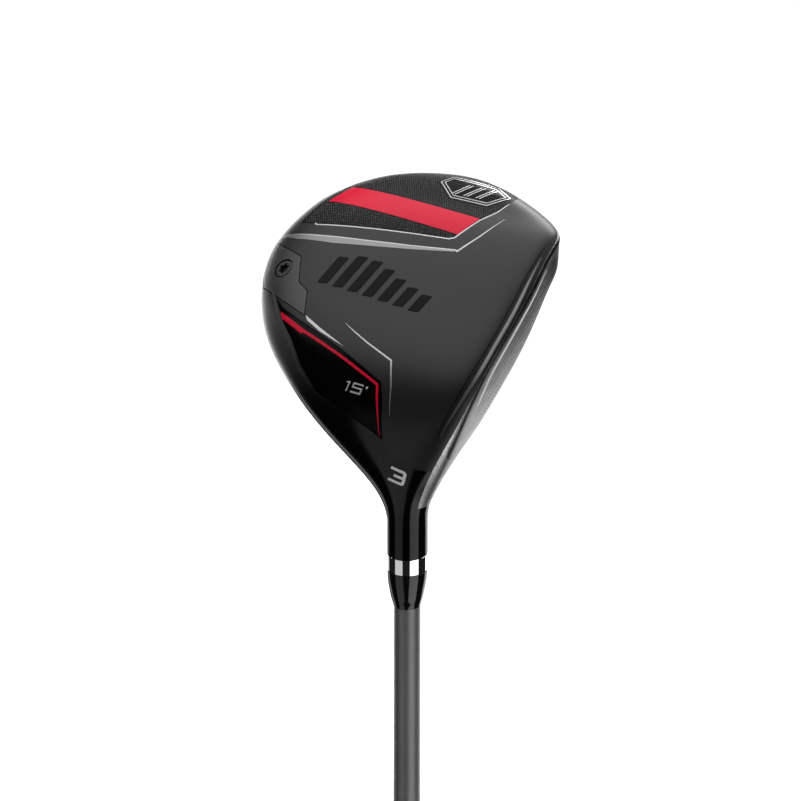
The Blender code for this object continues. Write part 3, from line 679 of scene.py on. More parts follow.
@dataclass(frozen=True)
class Studs:
    """Small studs on a staggered grid, dropped on to a surface and standing square to it."""

    name: str
    counts: tuple[int, int]
    pitch: float
    radius: float
    height: float
    sink: float

    def build(self, target: Solid, view: Matrix, drop: float) -> Solid:
        """Runs the pattern.

        Args:
            target: the surface they stand on.
            view: the grid's plane; they fall along its -Z.
            drop: how far they fall at most.

        Returns:
            The studs, in the target's frame.
        """
        pattern = Pattern(self.name)
        surface = pattern.value("Surface", "Object", target.obj)
        columns, rows = (pattern.value(n, "Int", v) for n, v in zip(("Columns", "Rows"), self.counts))
        pitch = pattern.value("Pitch", "Float", self.pitch)
        radius = pattern.value("Radius", "Float", self.radius)
        height = pattern.value("Height", "Float", self.height)
        placing = pattern.value("Place", "Vector", tuple(view.to_translation()))
        turning = pattern.value("Turn", "Rotation", tuple(view.to_euler()))
        fall = pattern.value("Fall", "Vector", tuple(view.to_3x3() @ Vector((0, 0, -1))))
        width = pattern.add("ShaderNodeMath", {0: columns, 1: pitch}, operation="MULTIPLY").outputs[0]
        line = pattern.add("ShaderNodeMath", {0: pitch, 1: STAGGERED_ROW}, operation="MULTIPLY").outputs[0]
        depth = pattern.add("ShaderNodeMath", {0: rows, 1: line}, operation="MULTIPLY").outputs[0]
        grid = pattern.add("GeometryNodeMeshGrid", {"Size X": width, "Size Y": depth, "Vertices X": columns,
                                                    "Vertices Y": rows})
        index = pattern.add("GeometryNodeInputIndex").outputs[0]
        odd = pattern.add("ShaderNodeMath", {0: index, 1: 2.0}, operation="MODULO").outputs[0]
        half = pattern.add("ShaderNodeMath", {0: odd, 1: 0.5}, operation="MULTIPLY").outputs[0]
        shift = pattern.add("ShaderNodeMath", {0: half, 1: pitch}, operation="MULTIPLY").outputs[0]
        offset = pattern.add("ShaderNodeCombineXYZ", {0: shift}).outputs[0]
        staggered = pattern.add("GeometryNodeSetPosition", {"Geometry": grid.outputs[0], "Offset": offset})
        placed = pattern.add("GeometryNodeTransform", {"Geometry": staggered.outputs[0],
                                                       "Translation": placing,
                                                       "Rotation": turning})
        info = pattern.add("GeometryNodeObjectInfo", {"Object": surface})
        ray = pattern.add("GeometryNodeRaycast", {"Target Geometry": info.outputs["Geometry"],
                                                  "Ray Direction": fall, "Ray Length": drop})
        facing = pattern.add("FunctionNodeAlignRotationToVector", {"Vector": ray.outputs["Hit Normal"]},
                             axis="Z")
        shape = pattern.shape(Tool.STUD, radius, height)
        low = pattern.add("ShaderNodeMath", {0: height, 1: -self.sink}, operation="MULTIPLY").outputs[0]
        down = pattern.add("ShaderNodeCombineXYZ", {2: low}).outputs[0]
        rooted = pattern.add("GeometryNodeTransform", {"Geometry": shape, "Translation": down})
        captured = pattern.add("GeometryNodeCaptureAttribute", {"Geometry": placed.outputs[0]})
        captured.capture_items.new("ROTATION", "Facing")
        captured.capture_items.new("BOOLEAN", "Hit")
        captured.capture_items.new("VECTOR", "Landing")
        pattern.tree.links.new(facing.outputs[0], captured.inputs["Facing"])
        pattern.tree.links.new(ray.outputs["Is Hit"], captured.inputs["Hit"])
        pattern.tree.links.new(ray.outputs["Hit Position"], captured.inputs["Landing"])
        settled = pattern.add("GeometryNodeSetPosition", {"Geometry": captured.outputs["Geometry"],
                                                          "Position": captured.outputs["Landing"],
                                                          "Selection": captured.outputs["Hit"]})
        copies = pattern.add("GeometryNodeInstanceOnPoints", {
            "Points": settled.outputs[0], "Instance": rooted.outputs[0],
            "Selection": captured.outputs["Hit"],
            "Rotation": captured.outputs["Facing"]})
        return pattern.finish(self.name, copies.outputs[0])


# ======================================================================== the head's skin
class Section(NamedTuple):
    """One section of the head, in millimetres."""

    place: float
    front: float
    back: float
    sole: float
    face_top: float
    crown: float
    rear_edge: float
    round: float


@dataclass(frozen=True)
class HeadLoft:
    """The head's outer skin, a smooth loft from the toe to the top of the hosel."""

    toe_tip: Section = Section(-85.4, -20.2, -20.2, 17.0, 17.0, 17.0, 17.0, 1.0)
    upright: tuple[Section, ...] = (
        Section(-82.8, -5.0, -32.7, 11.4, 23.1, 23.6, 17.0, 0.70),
        Section(-78.1, 6.1, -48.0, 7.4, 27.7, 29.2, 16.0, 0.30),
        Section(-67.8, 25.3, -60.0, 5.4, 30.0, 32.0, 15.0, 0.05),
        Section(-60.0, 24.2, -64.8, 2.5, 32.6, 35.1, 14.5, 0.0),
        Section(-44.0, 25.2, -71.0, 0.7, 36.1, 38.6, 14.0, 0.0),
        Section(-28.0, 24.2, -68.6, 0.5, 36.5, 39.0, 14.0, 0.0),
        Section(-12.0, 22.7, -60.1, 0.2, 35.8, 38.3, 14.5, 0.0),
    )
    leaning: tuple[Section, ...] = (
        Section(12, 21.9, -50.8, 0.4, 34.3, 36.3, 15.0, 0.05),
        Section(24, 19.4, -40.3, 1.7, 30.8, 31.8, 15.5, 0.25),
        Section(36, 14.7, -26.4, 4.6, 28.1, 28.4, 16.0, 0.55),
        Section(47, 9.9, -12.6, 8.2, 25.9, 25.9, 17.0, 0.85),
    )
    pivot: tuple[float, float, float] = (0.0, -12.0 * MM, 60.0 * MM)
    hosel_rings: tuple[float, ...] = (0.0, 0.45, 0.75, 1.0)
    hosel_radius: float = 6.53 * MM
    controls: int = 16
    sides: int = 208
    rings: int = 196

    @property
    def last(self) -> float:
        """The parameter along the loft at the top of the hosel."""
        return float(len(self.upright) + len(self.leaning) + len(self.hosel_rings))

    def section_ring(self, section: Section, inset: float) -> np.ndarray:
        """The control points of one section as (x, height), drawn in by the inset."""
        front, back = section.front * MM - inset, section.back * MM + inset
        low, top = section.sole * MM + inset, section.face_top * MM - inset
        crown, edge = section.crown * MM - inset, section.rear_edge * MM
        if front <= back:
            front = back = (front + back) / 2
        depth, height, slope = front - back, top - low, math.tan(LOFT)
        lip = min(1.0, depth / (60 * MM))
        top_front = front - slope * (height - 3 * MM)
        drawn = np.array((
            (front - slope * 0.20 * height, low + 0.24 * height),
            (front + 0.3 * MM, low + 3.4 * MM),
            (front - 2.6 * MM, low + 0.35 * MM),
            (front - 12.0 * MM * lip, low - 0.25 * MM),
            (front - 0.36 * depth, low - 0.1 * MM),
            (front - 0.60 * depth, low + 0.5 * MM),
            (front - 0.82 * depth, low + 0.20 * (edge - low)),
            (front - 0.965 * depth, low + 0.50 * (edge - low)),
            (back - 0.012 * depth, edge),
            (back + 0.045 * depth, edge + 0.30 * (crown - edge)),
            (back + 0.20 * depth, edge + 0.66 * (crown - edge)),
            (back + 0.43 * depth, edge + 0.92 * (crown - edge)),
            (back + 0.66 * depth, crown),
            (top_front - 7.0 * MM * lip, top + 0.8 * MM * (crown > top)),
            (top_front - 0.4 * MM, top - 0.4 * MM),
            (front - slope * 0.62 * height, low + 0.66 * height)))
        turn = (np.arange(self.controls) + 0.5) * 2 * math.pi / self.controls
        swell = 3 / (2 + math.cos(2 * math.pi / self.controls))
        oval = np.stack(((front + back) / 2 + depth / 2 * swell * np.cos(turn),
                         (low + top) / 2 - height / 2 * swell * np.sin(turn)), 1)
        return (1 - section.round) * drawn + section.round * oval

    def control_rings(self, inset: float) -> np.ndarray:
        """All the sections' control points, from the toe to the hosel's top."""
        pivot = np.array(self.pivot)
        shaft_way = np.array((0, math.cos(LIE), math.sin(LIE)))
        crown_way = np.array((0, -math.sin(LIE), math.cos(LIE)))
        rings = []

        def place(ring: np.ndarray, origin: np.ndarray, up: np.ndarray) -> None:
            """Stands one section's ring at its origin, along its own up."""
            rings.append(origin + np.outer(ring[:, 0], (1, 0, 0)) + np.outer(ring[:, 1], up))

        for i, section in enumerate((self.toe_tip, *self.upright)):
            shift = inset * max(0.0, 1 - 0.4 * i)
            origin = np.array((0, section.place * MM + shift, 0))
            place(self.section_ring(section, inset if i else 0.0), origin, np.array((0, 0, 1)))
        for section in self.leaning:
            lean = math.radians(section.place)
            up = np.array((0, -math.sin(lean), math.cos(lean)))
            place(self.section_ring(section, inset), pivot - pivot[2] * up, up)
        start = float(pivot @ shaft_way)
        turn = (np.arange(self.controls) + 0.5) * 2 * math.pi / self.controls
        swell = 3 / (2 + math.cos(2 * math.pi / self.controls))
        circle = (self.hosel_radius - inset) * swell * np.stack((np.cos(turn), -np.sin(turn)), 1)
        for share in self.hosel_rings:
            place(circle, (start + share * (HOSEL_TOP - start)) * shaft_way, crown_way)
        return np.array(rings)

    def points(self, rounds: object, alongs: object, inset: float = 0.0) -> np.ndarray:
        """Points of the loft at each (round, along) pair of parameters."""
        rings = self.control_rings(inset)
        rings = np.concatenate((2 * rings[:1] - rings[1:2], rings, 2 * rings[-1:] - rings[-2:-1]))
        rounds, alongs = np.broadcast_arrays(np.asarray(rounds, float), np.asarray(alongs, float))
        row = np.minimum(alongs.astype(int), len(rings) - 4)
        column = np.floor(rounds).astype(int)
        along_w, round_w = spline_weights(alongs - row), spline_weights(rounds - column)
        found = 0
        for a in range(4):
            for b in range(4):
                weight = along_w[..., a] * round_w[..., b]
                found = found + weight[..., None] * rings[row + a, (column + b - 1) % self.controls]
        return found

    def grid(self, inset: float = 0.0) -> tuple[np.ndarray, np.ndarray, np.ndarray]:
        """The dense grid of skin points, and its parameters round and along."""
        rounds = np.arange(self.sides) * self.controls / self.sides
        alongs = np.linspace(0, self.last, self.rings)[1:]
        return self.points(rounds[None, :], alongs[:, None], inset), rounds, alongs

    def solid(self, name: str, lift: float = 0.0, inset: float = 0.0) -> Solid:
        """The space inside the skin.

        Args:
            name: the object's name.
            lift: moves the skin out along its normals, for small distances.
            inset: draws every section in, for large ones.

        Returns:
            The solid.
        """
        grid, _, _ = self.grid(inset)
        tip = self.points(0.0, 0.0, inset)
        if lift:
            across = np.roll(grid, -1, 1) - np.roll(grid, 1, 1)
            along = np.gradient(grid, axis=0)
            normal = np.cross(across, along)
            normal /= np.linalg.norm(normal, axis=2, keepdims=True)
            if (normal[40, :, :] * (grid[40] - grid[40].mean(0))).sum() < 0:
                normal = -normal
            grid = grid + lift * normal
            tip = tip + np.array((0, -lift, 0))
        rows = len(grid)
        points = [*grid.reshape(-1, 3), tip, grid[-1].mean(0)]
        last, tip_at, end_at = (rows - 1) * self.sides, len(points) - 2, len(points) - 1
        faces = tube_faces(rows, self.sides, closed=False)
        faces += [(tip_at, (j + 1) % self.sides, j) for j in range(self.sides)]
        faces += [(end_at, last + j, last + (j + 1) % self.sides) for j in range(self.sides)]
        solid = Solid(name, points, [tuple(reversed(f)) for f in faces])
        if signed_volume(solid) < 0:
            solid.obj.data.flip_normals()
        return solid


def spline_weights(t: np.ndarray) -> np.ndarray:
    """The four weights of a uniform cubic B-spline."""
    return np.stack(((1 - t) ** 3, 3 * t**3 - 6 * t**2 + 4, -3 * t**3 + 3 * t**2 + 3 * t + 1, t**3), -1) / 6


def signed_volume(solid: Solid) -> float:
    """Positive where the faces look outwards."""
    mesh = solid.obj.data
    mesh.calc_loop_triangles()
    corners = np.empty(len(mesh.loop_triangles) * 3, np.int32)
    mesh.loop_triangles.foreach_get("vertices", corners)
    return float(np.linalg.det(solid.points()[corners.reshape(-1, 3)]).sum() / 6)


class Skin:
    """The dense skin with what is needed to let pieces into it."""

    def __init__(self, loft: HeadLoft) -> None:
        """Measures the skin."""
        self.loft = loft
        self.shells: dict[float, Solid] = {}
        self.grid, self.rounds, self.alongs = loft.grid()
        rows, sides = self.grid.shape[:2]
        self.tree = BVHTree.FromPolygons([Vector(p) for p in self.grid.reshape(-1, 3)],
                                         tube_faces(rows, sides, closed=False))

    def shell(self, lift: float) -> Solid:
        """The space inside the skin moved out by lift, or in where it is negative."""
        if lift not in self.shells:
            deep = lift < -0.45 * MM
            name = f"shell_{lift / MM:.2f}"
            self.shells[lift] = self.loft.solid(name, 0.0 if deep else lift, -lift if deep else 0.0)
        return self.shells[lift]

    def height(self, view: Matrix, x: float, y: float) -> float | None:
        """How high the skin is in a view, above its XY plane."""
        start = view @ Vector((x, y, 0.3))
        found = self.tree.ray_cast(start, view.to_3x3() @ Vector((0, 0, -1)))[0]
        return None if found is None else (view.inverted() @ found).z

    def seat(self, name: str, outline: Outline, view: Matrix, depth: float, bevel: Point2,
             span: Point2) -> Solid:
        """A cutter for a piece's seat, with its rim bevelled.

        Args:
            name: the object's name.
            outline: in the view's plane.
            view: its Z comes out of the skin.
            depth: how deep the seat is.
            bevel: how far the rim spreads, and how deep the bevel goes.
            span: lowest and highest reach along Z.

        Returns:
            The cutter.
        """
        inner = subdivided(anticlockwise(outline), 1.0 * MM)
        outer = grown(inner, bevel[0])
        floor, roof = [], []
        height = 0.0
        for (x, y), (x_out, y_out) in zip(inner, outer):
            found = self.height(view, x, y)
            height = height if found is None else found
            found = self.height(view, x_out, y_out)
            floor.append(height - bevel[1])
            roof.append(height if found is None else found)
        rings = [[(x, y, span[0]) for x, y in inner],
                 [(x, y, z) for (x, y), z in zip(inner, floor)],
                 [(x, y, z + 0.02 * MM) for (x, y), z in zip(outer, roof)],
                 [(x, y, span[1]) for x, y in outer]]
        count = len(inner)
        faces = [tuple(range(count - 1, -1, -1)), tuple(range(3 * count, 4 * count))]
        points = [view @ Vector(p) for ring in rings for p in ring]
        cutter = Solid(name, points, faces + tube_faces(4, count, closed=False))
        return cutter.apply(Cut.AWAY, self.shell(-depth))

    def inlay(self, name: str, outlines: Sequence[Outline], view: Matrix, top: float, bottom: float,
              span: Point2) -> Solid:
        """A thin piece that follows the skin.

        Args:
            name: the object's name.
            outlines: one or more, in the view's plane, clear of each other.
            view: its Z comes out of the skin.
            top: height of its face above the skin.
            bottom: height of its back.
            span: lowest and highest reach along Z.

        Returns:
            The piece.
        """
        points: list[Vector] = []
        faces: list[tuple[int, ...]] = []
        for outline in outlines:
            outline = anticlockwise(outline)
            count, start = len(outline), len(points)
            points += [view @ Vector((x, y, z)) for z in span for x, y in outline]
            ends = [tuple(range(count - 1, -1, -1)), tuple(range(count, 2 * count))]
            faces += [tuple(start + i for i in f) for f in ends + tube_faces(2, count, closed=False)]
        solid = Solid(name, points, faces)
        return solid.apply(Cut.KEEP, self.shell(top)).apply(Cut.AWAY, self.shell(bottom))

    def parameters(self, points: np.ndarray) -> tuple[np.ndarray, np.ndarray]:
        """The loft's parameters nearest to each point; round runs from -8 to 8 with the face at 0."""
        sides = self.loft.sides
        step_u = self.loft.controls / sides
        step_v = self.alongs[1] - self.alongs[0]
        flat = self.grid.reshape(-1, 3)
        found_u, found_v = np.zeros(len(points)), np.zeros(len(points))
        for k, point in enumerate(points):
            _, _, index, _ = self.tree.find_nearest(Vector(point))
            row, column = divmod(index, sides)
            origin = flat[row * sides + column]
            across = flat[row * sides + (column + 1) % sides] - origin
            along = flat[min(row + 1, len(self.grid) - 1) * sides + column] - origin
            shares = [float((point - origin) @ way / max(way @ way, 1e-18)) for way in (across, along)]
            found_u[k] = (column + min(max(shares[0], 0.0), 1.0)) * step_u
            found_v[k] = self.alongs[row] + min(max(shares[1], 0.0), 1.0) * step_v
        half = self.loft.controls / 2
        return (found_u + half) % self.loft.controls - half, found_v


# ======================================================================== the head
OUTWARD = (-14 * MM, 60 * MM)
TOE_SPAN = (-17 * MM, 60 * MM)


@dataclass
class HeadShell:
    """The cast body, its face and its crown."""

    skin: Skin
    seam: float = 0.06 * MM
    shell: float = 1.0 * MM
    face_thickness: float = 2.4 * MM
    face_span: tuple[Point2, Point2] = ((-1.75, 1.15), (2.95, 9.75))
    crown_span: tuple[Point2, Point2] = ((9.7, 13.7), (1.5, 8.1))
    sole_channel: tuple[Point2, ...] = ((22.3, -58.5), (21.75, -48.0), (21.4, -34.1), (20.35, -18.6),
                                        (17.9, -3.6),
                                        (14.6, 7.6), (12.2, 14.4))
    channel_width: float = 0.42
    bore_radius: float = 4.4
    bore_depth: float = 34.0
    # painted shade: the gloss fades in across the skirt, darkening it towards the neck
    neck_fade: Point2 = (8.0, 19.0)         # where the gloss starts to fade in, and over what length
    # Painted highlight on the skirt: it ramps up from the gloss's edge and along the skirt.
    skirt_light: Point2 = (4.0, 26.0)       # from the gloss's edge, and along the skirt
    paint_view: tuple[tuple[float, ...], ...] = ((0.892, -0.379, 0.246), (-0.198, -0.817, -0.541))
    neck_line: tuple[Point2, ...] = ((-49.0, 34.0), (-7.85, -14.5), (-6.5, -23.3), (-2.2, -25.4), (3.2,
                                                                                                   -28.2),
                                     (7.6, -28.7), (40.0, -29.2))

    def patch(self, span: tuple[Point2, Point2], view: Matrix, count: int = 96) -> list[Point2]:
        """A rounded patch of the skin as an outline in a view."""
        (u0, u1), (v0, v1) = span
        turn = np.arange(count) * 2 * math.pi / count
        swing, swell = np.sin(turn), np.cos(turn)
        rounds = (u0 + u1) / 2 + (u1 - u0) / 2 * np.sign(swing) * abs(swing) ** 0.45
        alongs = (v0 + v1) / 2 + (v1 - v0) / 2 * np.sign(swell) * abs(swell) ** 0.45
        found = self.skin.loft.points(rounds % self.skin.loft.controls, alongs)
        local = [view.inverted() @ Vector(p) for p in found]
        return anticlockwise([(p.x, p.y) for p in local])

    def cast(self) -> Solid:
        """The body before anything is cut from it."""
        return self.skin.loft.solid("head_shell")

    def cut_seats(self, body: Solid) -> None:
        """Cuts the seats of the face and the crown, the shaft's bore and the leading edge's channel."""
        rim = (0.12 * MM, 0.12 * MM)
        face = self.patch(self.face_span, FACE_VIEW)
        crown = self.patch(self.crown_span, CROWN_VIEW)
        body.apply(Cut.AWAY, self.skin.seat("cut_face", face, FACE_VIEW, self.face_thickness, rim,
                                            (9 * MM, 90 * MM)))
        body.apply(Cut.AWAY, self.skin.seat("cut_crown", crown, CROWN_VIEW, self.shell, rim,
                                            (13 * MM, 90 * MM)))
        channel = sole(stroke(*softened(self.sole_channel, [0.1] + [self.channel_width] * 5 + [0.1])))
        cutter = prism("cut_channel", channel, SOLE_VIEW, *OUTWARD).apply(Cut.AWAY,
                                                                          self.skin.shell(-0.3 * MM))
        body.apply(Cut.AWAY, cutter)
        wide, past = self.bore_radius, self.bore_depth + 6
        bore = turned("cut_bore", ((0, -1), (wide, -1), (wide, past), (0, past)), Matrix.Scale(MM, 4),
                      sides=48)
        lean = Matrix.Rotation(LIE - math.pi / 2, 4, "X")
        bore.obj.data.transform(lean @ Matrix.Translation((0, 0, HOSEL_TOP - self.bore_depth * MM)))
        body.apply(Cut.AWAY, bore)

    def paint_fields(self, body: Solid) -> None:
        """Stores where each paint ends, mostly as signed distances in millimetres, with the painted shade
        where the gloss fades in and the painted highlight on the skirt.
        """
        points = body.points()
        rounds, alongs = self.skin.parameters(points)
        drawn = points @ np.array(self.paint_view).T / MM
        neck = left_of(self.neck_line, drawn)
        # Painted shade: the gloss fades in along the skirt, darker towards the neck.
        fade = np.clip((self.neck_fade[0] - drawn[:, 1]) / self.neck_fade[1], 0, 1)
        off_neck, down_skirt = self.skirt_light
        face = np.minimum.reduce(((1.20 - rounds) * 4.2, (rounds + 1.85) * 4.2, (alongs - 2.45) * 9.0,
                                  (11.75 - alongs) * 5.0))
        top = np.clip((np.abs(rounds) - 1.9) * 8, 0, 1) * (rounds < 0) * ((-rounds < 6.9) * 1.0)
        fields = {"neck_edge": neck, "neck_fade": fade * fade * (3 - 2 * fade),
                  # painted highlight: the share of lighter grey on the skirt
                  "skirt_light": (np.clip(neck / off_neck, 0, 1)
                                  * np.clip((drawn[:, 1] + off_neck) / down_skirt, 0, 1)),
                  "face_edge": face, "top_side": top}
        for name, values in fields.items():
            attribute = body.obj.data.attributes.new(name, "FLOAT", "POINT")
            attribute.data.foreach_set("value", values.astype(np.float32))

    def face_plate(self) -> Solid:
        """The face, with its score lines and rows of dots cut into it."""
        outline = grown(self.patch(self.face_span, FACE_VIEW), -self.seam)
        plate = prism("face_insert", outline, FACE_VIEW, 9 * MM, 90 * MM)
        plate.apply(Cut.KEEP, self.skin.shell(0.0)).apply(Cut.AWAY,
                                                          self.skin.shell(-self.face_thickness + 0.2 * MM))
        far = 50 * MM

        def at(y: float, z: float) -> Matrix:
            """A place on the face, across and up it, in millimetres."""
            return FACE_VIEW @ Matrix.Translation((y * MM, z * MM, far / 2))

        rows = (
            Rows("score_lines", Tool.BAR, (1, 4), (0.0, 3.4 * MM), 0.40 * MM, far, 46 * MM).build(at(-25.0,
                                                                                                     13.4)),
            Rows("score_dots", Tool.PIN, (31, 5), (1.25 * MM, 2.5 * MM), 0.22 * MM, far).build(at(-24.0,
                                                                                                  26.6)),
            Rows("toe_dots", Tool.PIN, (8, 6), (1.25 * MM, 2.5 * MM), 0.22 * MM, far).build(at(-53.6,
                                                                                               22.8)),
        )
        for cutter in rows:
            plate.apply(Cut.AWAY, cutter.apply(Cut.AWAY, self.skin.shell(-0.13 * MM)))
        return plate

    def crown_cover(self) -> Solid:
        """The thin shell over the crown."""
        outline = grown(self.patch(self.crown_span, CROWN_VIEW), -self.seam)
        cover = prism("crown_cover", outline, CROWN_VIEW, 13 * MM, 90 * MM)
        return cover.apply(Cut.KEEP, self.skin.shell(0.0)).apply(Cut.AWAY,
                                                                 self.skin.shell(-self.shell + 0.1 * MM))

    def crown_mark(self) -> Solid:
        """The aiming mark on the crown, a plain chevron."""
        mark = [(6.5 * MM, -29.5 * MM), (-1.0 * MM, -24.5 * MM), (-2.6 * MM, -24.5 * MM), (4.4 * MM,
                                                                                           -29.5 * MM),
                (-2.6 * MM, -34.5 * MM), (-1.0 * MM, -34.5 * MM)]
        return self.skin.inlay("crown_mark", [mark], CROWN_VIEW, 0.03 * MM, -0.12 * MM, (13 * MM, 90 * MM))


@dataclass
class SoleTrim:
    """Badges, lines and figures on the sole. Outlines are in plan, in millimetres."""

    skin: Skin
    palette: Palette
    toe_outline: tuple[Point2, ...] = (
        (-61.4, -50.8), (-55.7, -50.6), (-21.5, -52.2), (-8.3, -52.9), (-6.7, -53.5), (-2.0, -62.8),
        (1.7, -67.8),
        (4.6, -75.6), (2.5, -84.0), (-20.0, -89.0), (-40.0, -82.0), (-51.0, -73.5), (-56.6, -64.0), (-59.4,
                                                                                                     -57.6))
    stripe_outline: tuple[Point2, ...] = ((-56.3, -61.2), (-6.1, -55.1), (-2.3, -63.4), (-51.5, -69.2))
    emblem_outline: tuple[Point2, ...] = ((-22.7, -76.4), (-19.6, -80.2), (-3.4, -79.0), (3.0, -74.9),
                                          (-3.0, -69.5),
                                          (-16.1, -70.2))
    pocket_outline: tuple[Point2, ...] = (
        (-56.6, -21.2), (-52.7, -17.9), (-44.3, -13.9), (-26.3, -6.3), (-9.2, 1.6), (-7.1, 6.6), (-4.9,
                                                                                                  16.4),
        (-9.4, 14.7), (-21.1, 10.9), (-31.0, 7.0), (-39.2, -0.1), (-45.2, -7.6), (-50.9, -13.4))
    trim_line: tuple[Point2, ...] = ((-42.2, -10.9), (-26.0, -4.4), (-10.3, 2.4), (-9.0, 7.0), (-6.1, 15.6))
    trim_widths: tuple[float, ...] = (0.95, 0.85, 0.8, 0.7, 0.12)
    bar_heights: tuple[float, ...] = (10.5, 12.5, 12.5, 11.0, 9.0, 7.5, 6.5)
    bar_half_width: float = 1.85
    bar_corner: float = 0.5
    bar_lean: float = 0.30
    trim_bar: tuple[Point2, ...] = ((-53.2, -16.9), (-42.0, -11.3), (-41.6, -10.5), (-42.4, -9.9), (-43.0,
                                                                                                    -10.1),
                                    (-52.2, -14.7))

    def cut_seats(self, body: Solid) -> None:
        """Cuts the toe badge's seat and the heel pocket from the body."""
        toe = self.skin.seat("cut_toe", sole(self.toe_outline), SOLE_VIEW, 1.0 * MM, (0.1 * MM, 0.1 * MM),
                             TOE_SPAN)
        pocket = self.skin.seat("cut_pocket", sole(self.pocket_outline), SOLE_VIEW, 1.5 * MM, (0.15 * MM,
                                                                                               0.2 * MM),
                                OUTWARD)
        body.apply(Cut.AWAY, toe, pocket)

    def inlay(self, name: str, outlines: Sequence[Outline], top: float, bottom: float,
              gap: float = 0.0, span: Point2 = OUTWARD) -> Solid:
        """A thin piece on the sole; heights are in millimetres from the skin."""
        shapes = [grown(sole(outline), -gap * MM) for outline in outlines]
        return self.skin.inlay(name, shapes, SOLE_VIEW, top * MM, bottom * MM, span)

    def toe_pieces(self) -> None:
        """The textured toe badge, its studs, the stripe and the plain hexagon."""
        panel = self.inlay("toe_badge", [self.toe_outline], -0.10, -0.95, 0.06, TOE_SPAN)
        stripe_cut = self.inlay("cut_stripe", [self.stripe_outline], 1.0, -0.7)
        emblem_cut = self.inlay("cut_emblem", [self.emblem_outline], 1.0, -0.7)
        studs = Studs("toe_studs", (92, 50), 0.80 * MM, 0.25 * MM, 0.14 * MM, 0.2)
        field = self.inlay("stud_field", [grown(anticlockwise(self.toe_outline), -0.5)], -0.10, -0.6)
        field.apply(Cut.AWAY, self.inlay("cut_a", [grown(anticlockwise(self.stripe_outline), 0.35)], 1.0,
                                         -0.8),
                    self.inlay("cut_b", [grown(anticlockwise(self.emblem_outline), 0.9)], 1.0, -0.8))
        view = Matrix.Translation((-29 * MM, -66 * MM, -30 * MM)) @ SOLE_VIEW
        dots = studs.build(field, view, 50 * MM)
        panel.apply(Cut.AWAY, stripe_cut, emblem_cut)
        present(panel, self.palette.textured, Body.CLUB, "textured_black", "toe_panel")
        present(dots, self.palette.stud, Body.CLUB, "textured_black", crease=60)
        stripe = self.inlay("toe_stripe_enamel", [self.stripe_outline], -0.02, -0.66, 0.06)
        present(stripe, self.palette.red, Body.CLUB, "red_gloss", "toe_stripe")
        hexagon = anticlockwise(self.emblem_outline)
        back = self.inlay("hexagon_field", [hexagon], -0.06, -0.66, 0.06)
        present(back, self.palette.pocket, Body.CLUB, "gloss_black", "toe_emblem")
        rings = []
        for reach, width in ((-0.05, 0.30), (-1.05, 0.26)):
            outer, inner = grown(hexagon, reach), grown(hexagon, reach - width)
            rings.append((outer, inner))
        lines = self.inlay("hexagon_lines", [rings[0][0]], -0.01, -0.3)
        lines.apply(Cut.AWAY, self.inlay("cut_ring", [rings[0][1]], 1.0, -1.0))
        second = self.inlay("ring_two", [rings[1][0]], -0.01, -0.3)
        second.apply(Cut.AWAY, self.inlay("cut_ring_two", [rings[1][1]], 1.0, -1.0))
        bars = [stroke(((-16.6 + 4.3 * k, -72.0), (-12.4 + 4.3 * k, -77.0)), (0.34,
                                                                              0.34)) for k in range(3)]
        bars += [stroke(((-15.4 + 4.3 * k, -72.0), (-11.2 + 4.3 * k, -77.0)), (0.34,
                                                                               0.34)) for k in range(3)]
        lines.apply(Cut.JOIN, second, self.inlay("hexagon_bars", bars, -0.01, -0.3))
        present(lines, self.palette.bright, Body.CLUB, "silver")

    def heel_pieces(self) -> None:
        """The black pocket at the heel and the red line that runs round it."""
        floor = self.inlay("heel_pocket", [self.pocket_outline], -0.5, -1.3, 0.05)
        bar = self.inlay("heel_line", [self.trim_bar], -0.25, -1.0)
        thin = self.inlay("thin_line", [stroke(self.trim_line, self.trim_widths)], -0.3, -1.0)
        bar.apply(Cut.JOIN, thin)
        cutter = self.inlay("cut_bar", [grown(anticlockwise(self.trim_bar), 0.05)], 0.5, -1.2)
        second = self.inlay("cut_thin", [stroke(self.trim_line, [w + 0.1 for w in self.trim_widths])], 0.5,
                            -1.2)
        floor.apply(Cut.AWAY, cutter, second)
        present(floor, self.palette.pocket, Body.CLUB, "gloss_black", "heel_panel")
        present(bar, self.palette.red, Body.CLUB, "red_gloss", "heel_trim")

    def lines(self) -> None:
        """The silver lines that frame the middle of the sole, the painted highlight along the long line's
        top edge, and light grey strokes that are painted highlights on the pocket's rim and the leading
        edge's bead.
        """
        upper = ((-65.6, -45.7), (-51.3, -45.8), (-35.0, -46.3), (-19.3, -47.35), (-4.7, -48.9))
        lower = ((-4.4, -48.25), (-18.7, -46.0), (-32.5, -44.5), (-45.4, -43.5), (-59.2, -43.9), (-66.2,
                                                                                                  -44.9))
        shadow = self.inlay("long_line", [[*upper, *lower]], 0.04, -0.15)
        present(shadow, self.palette.silver, Body.CLUB, "silver")
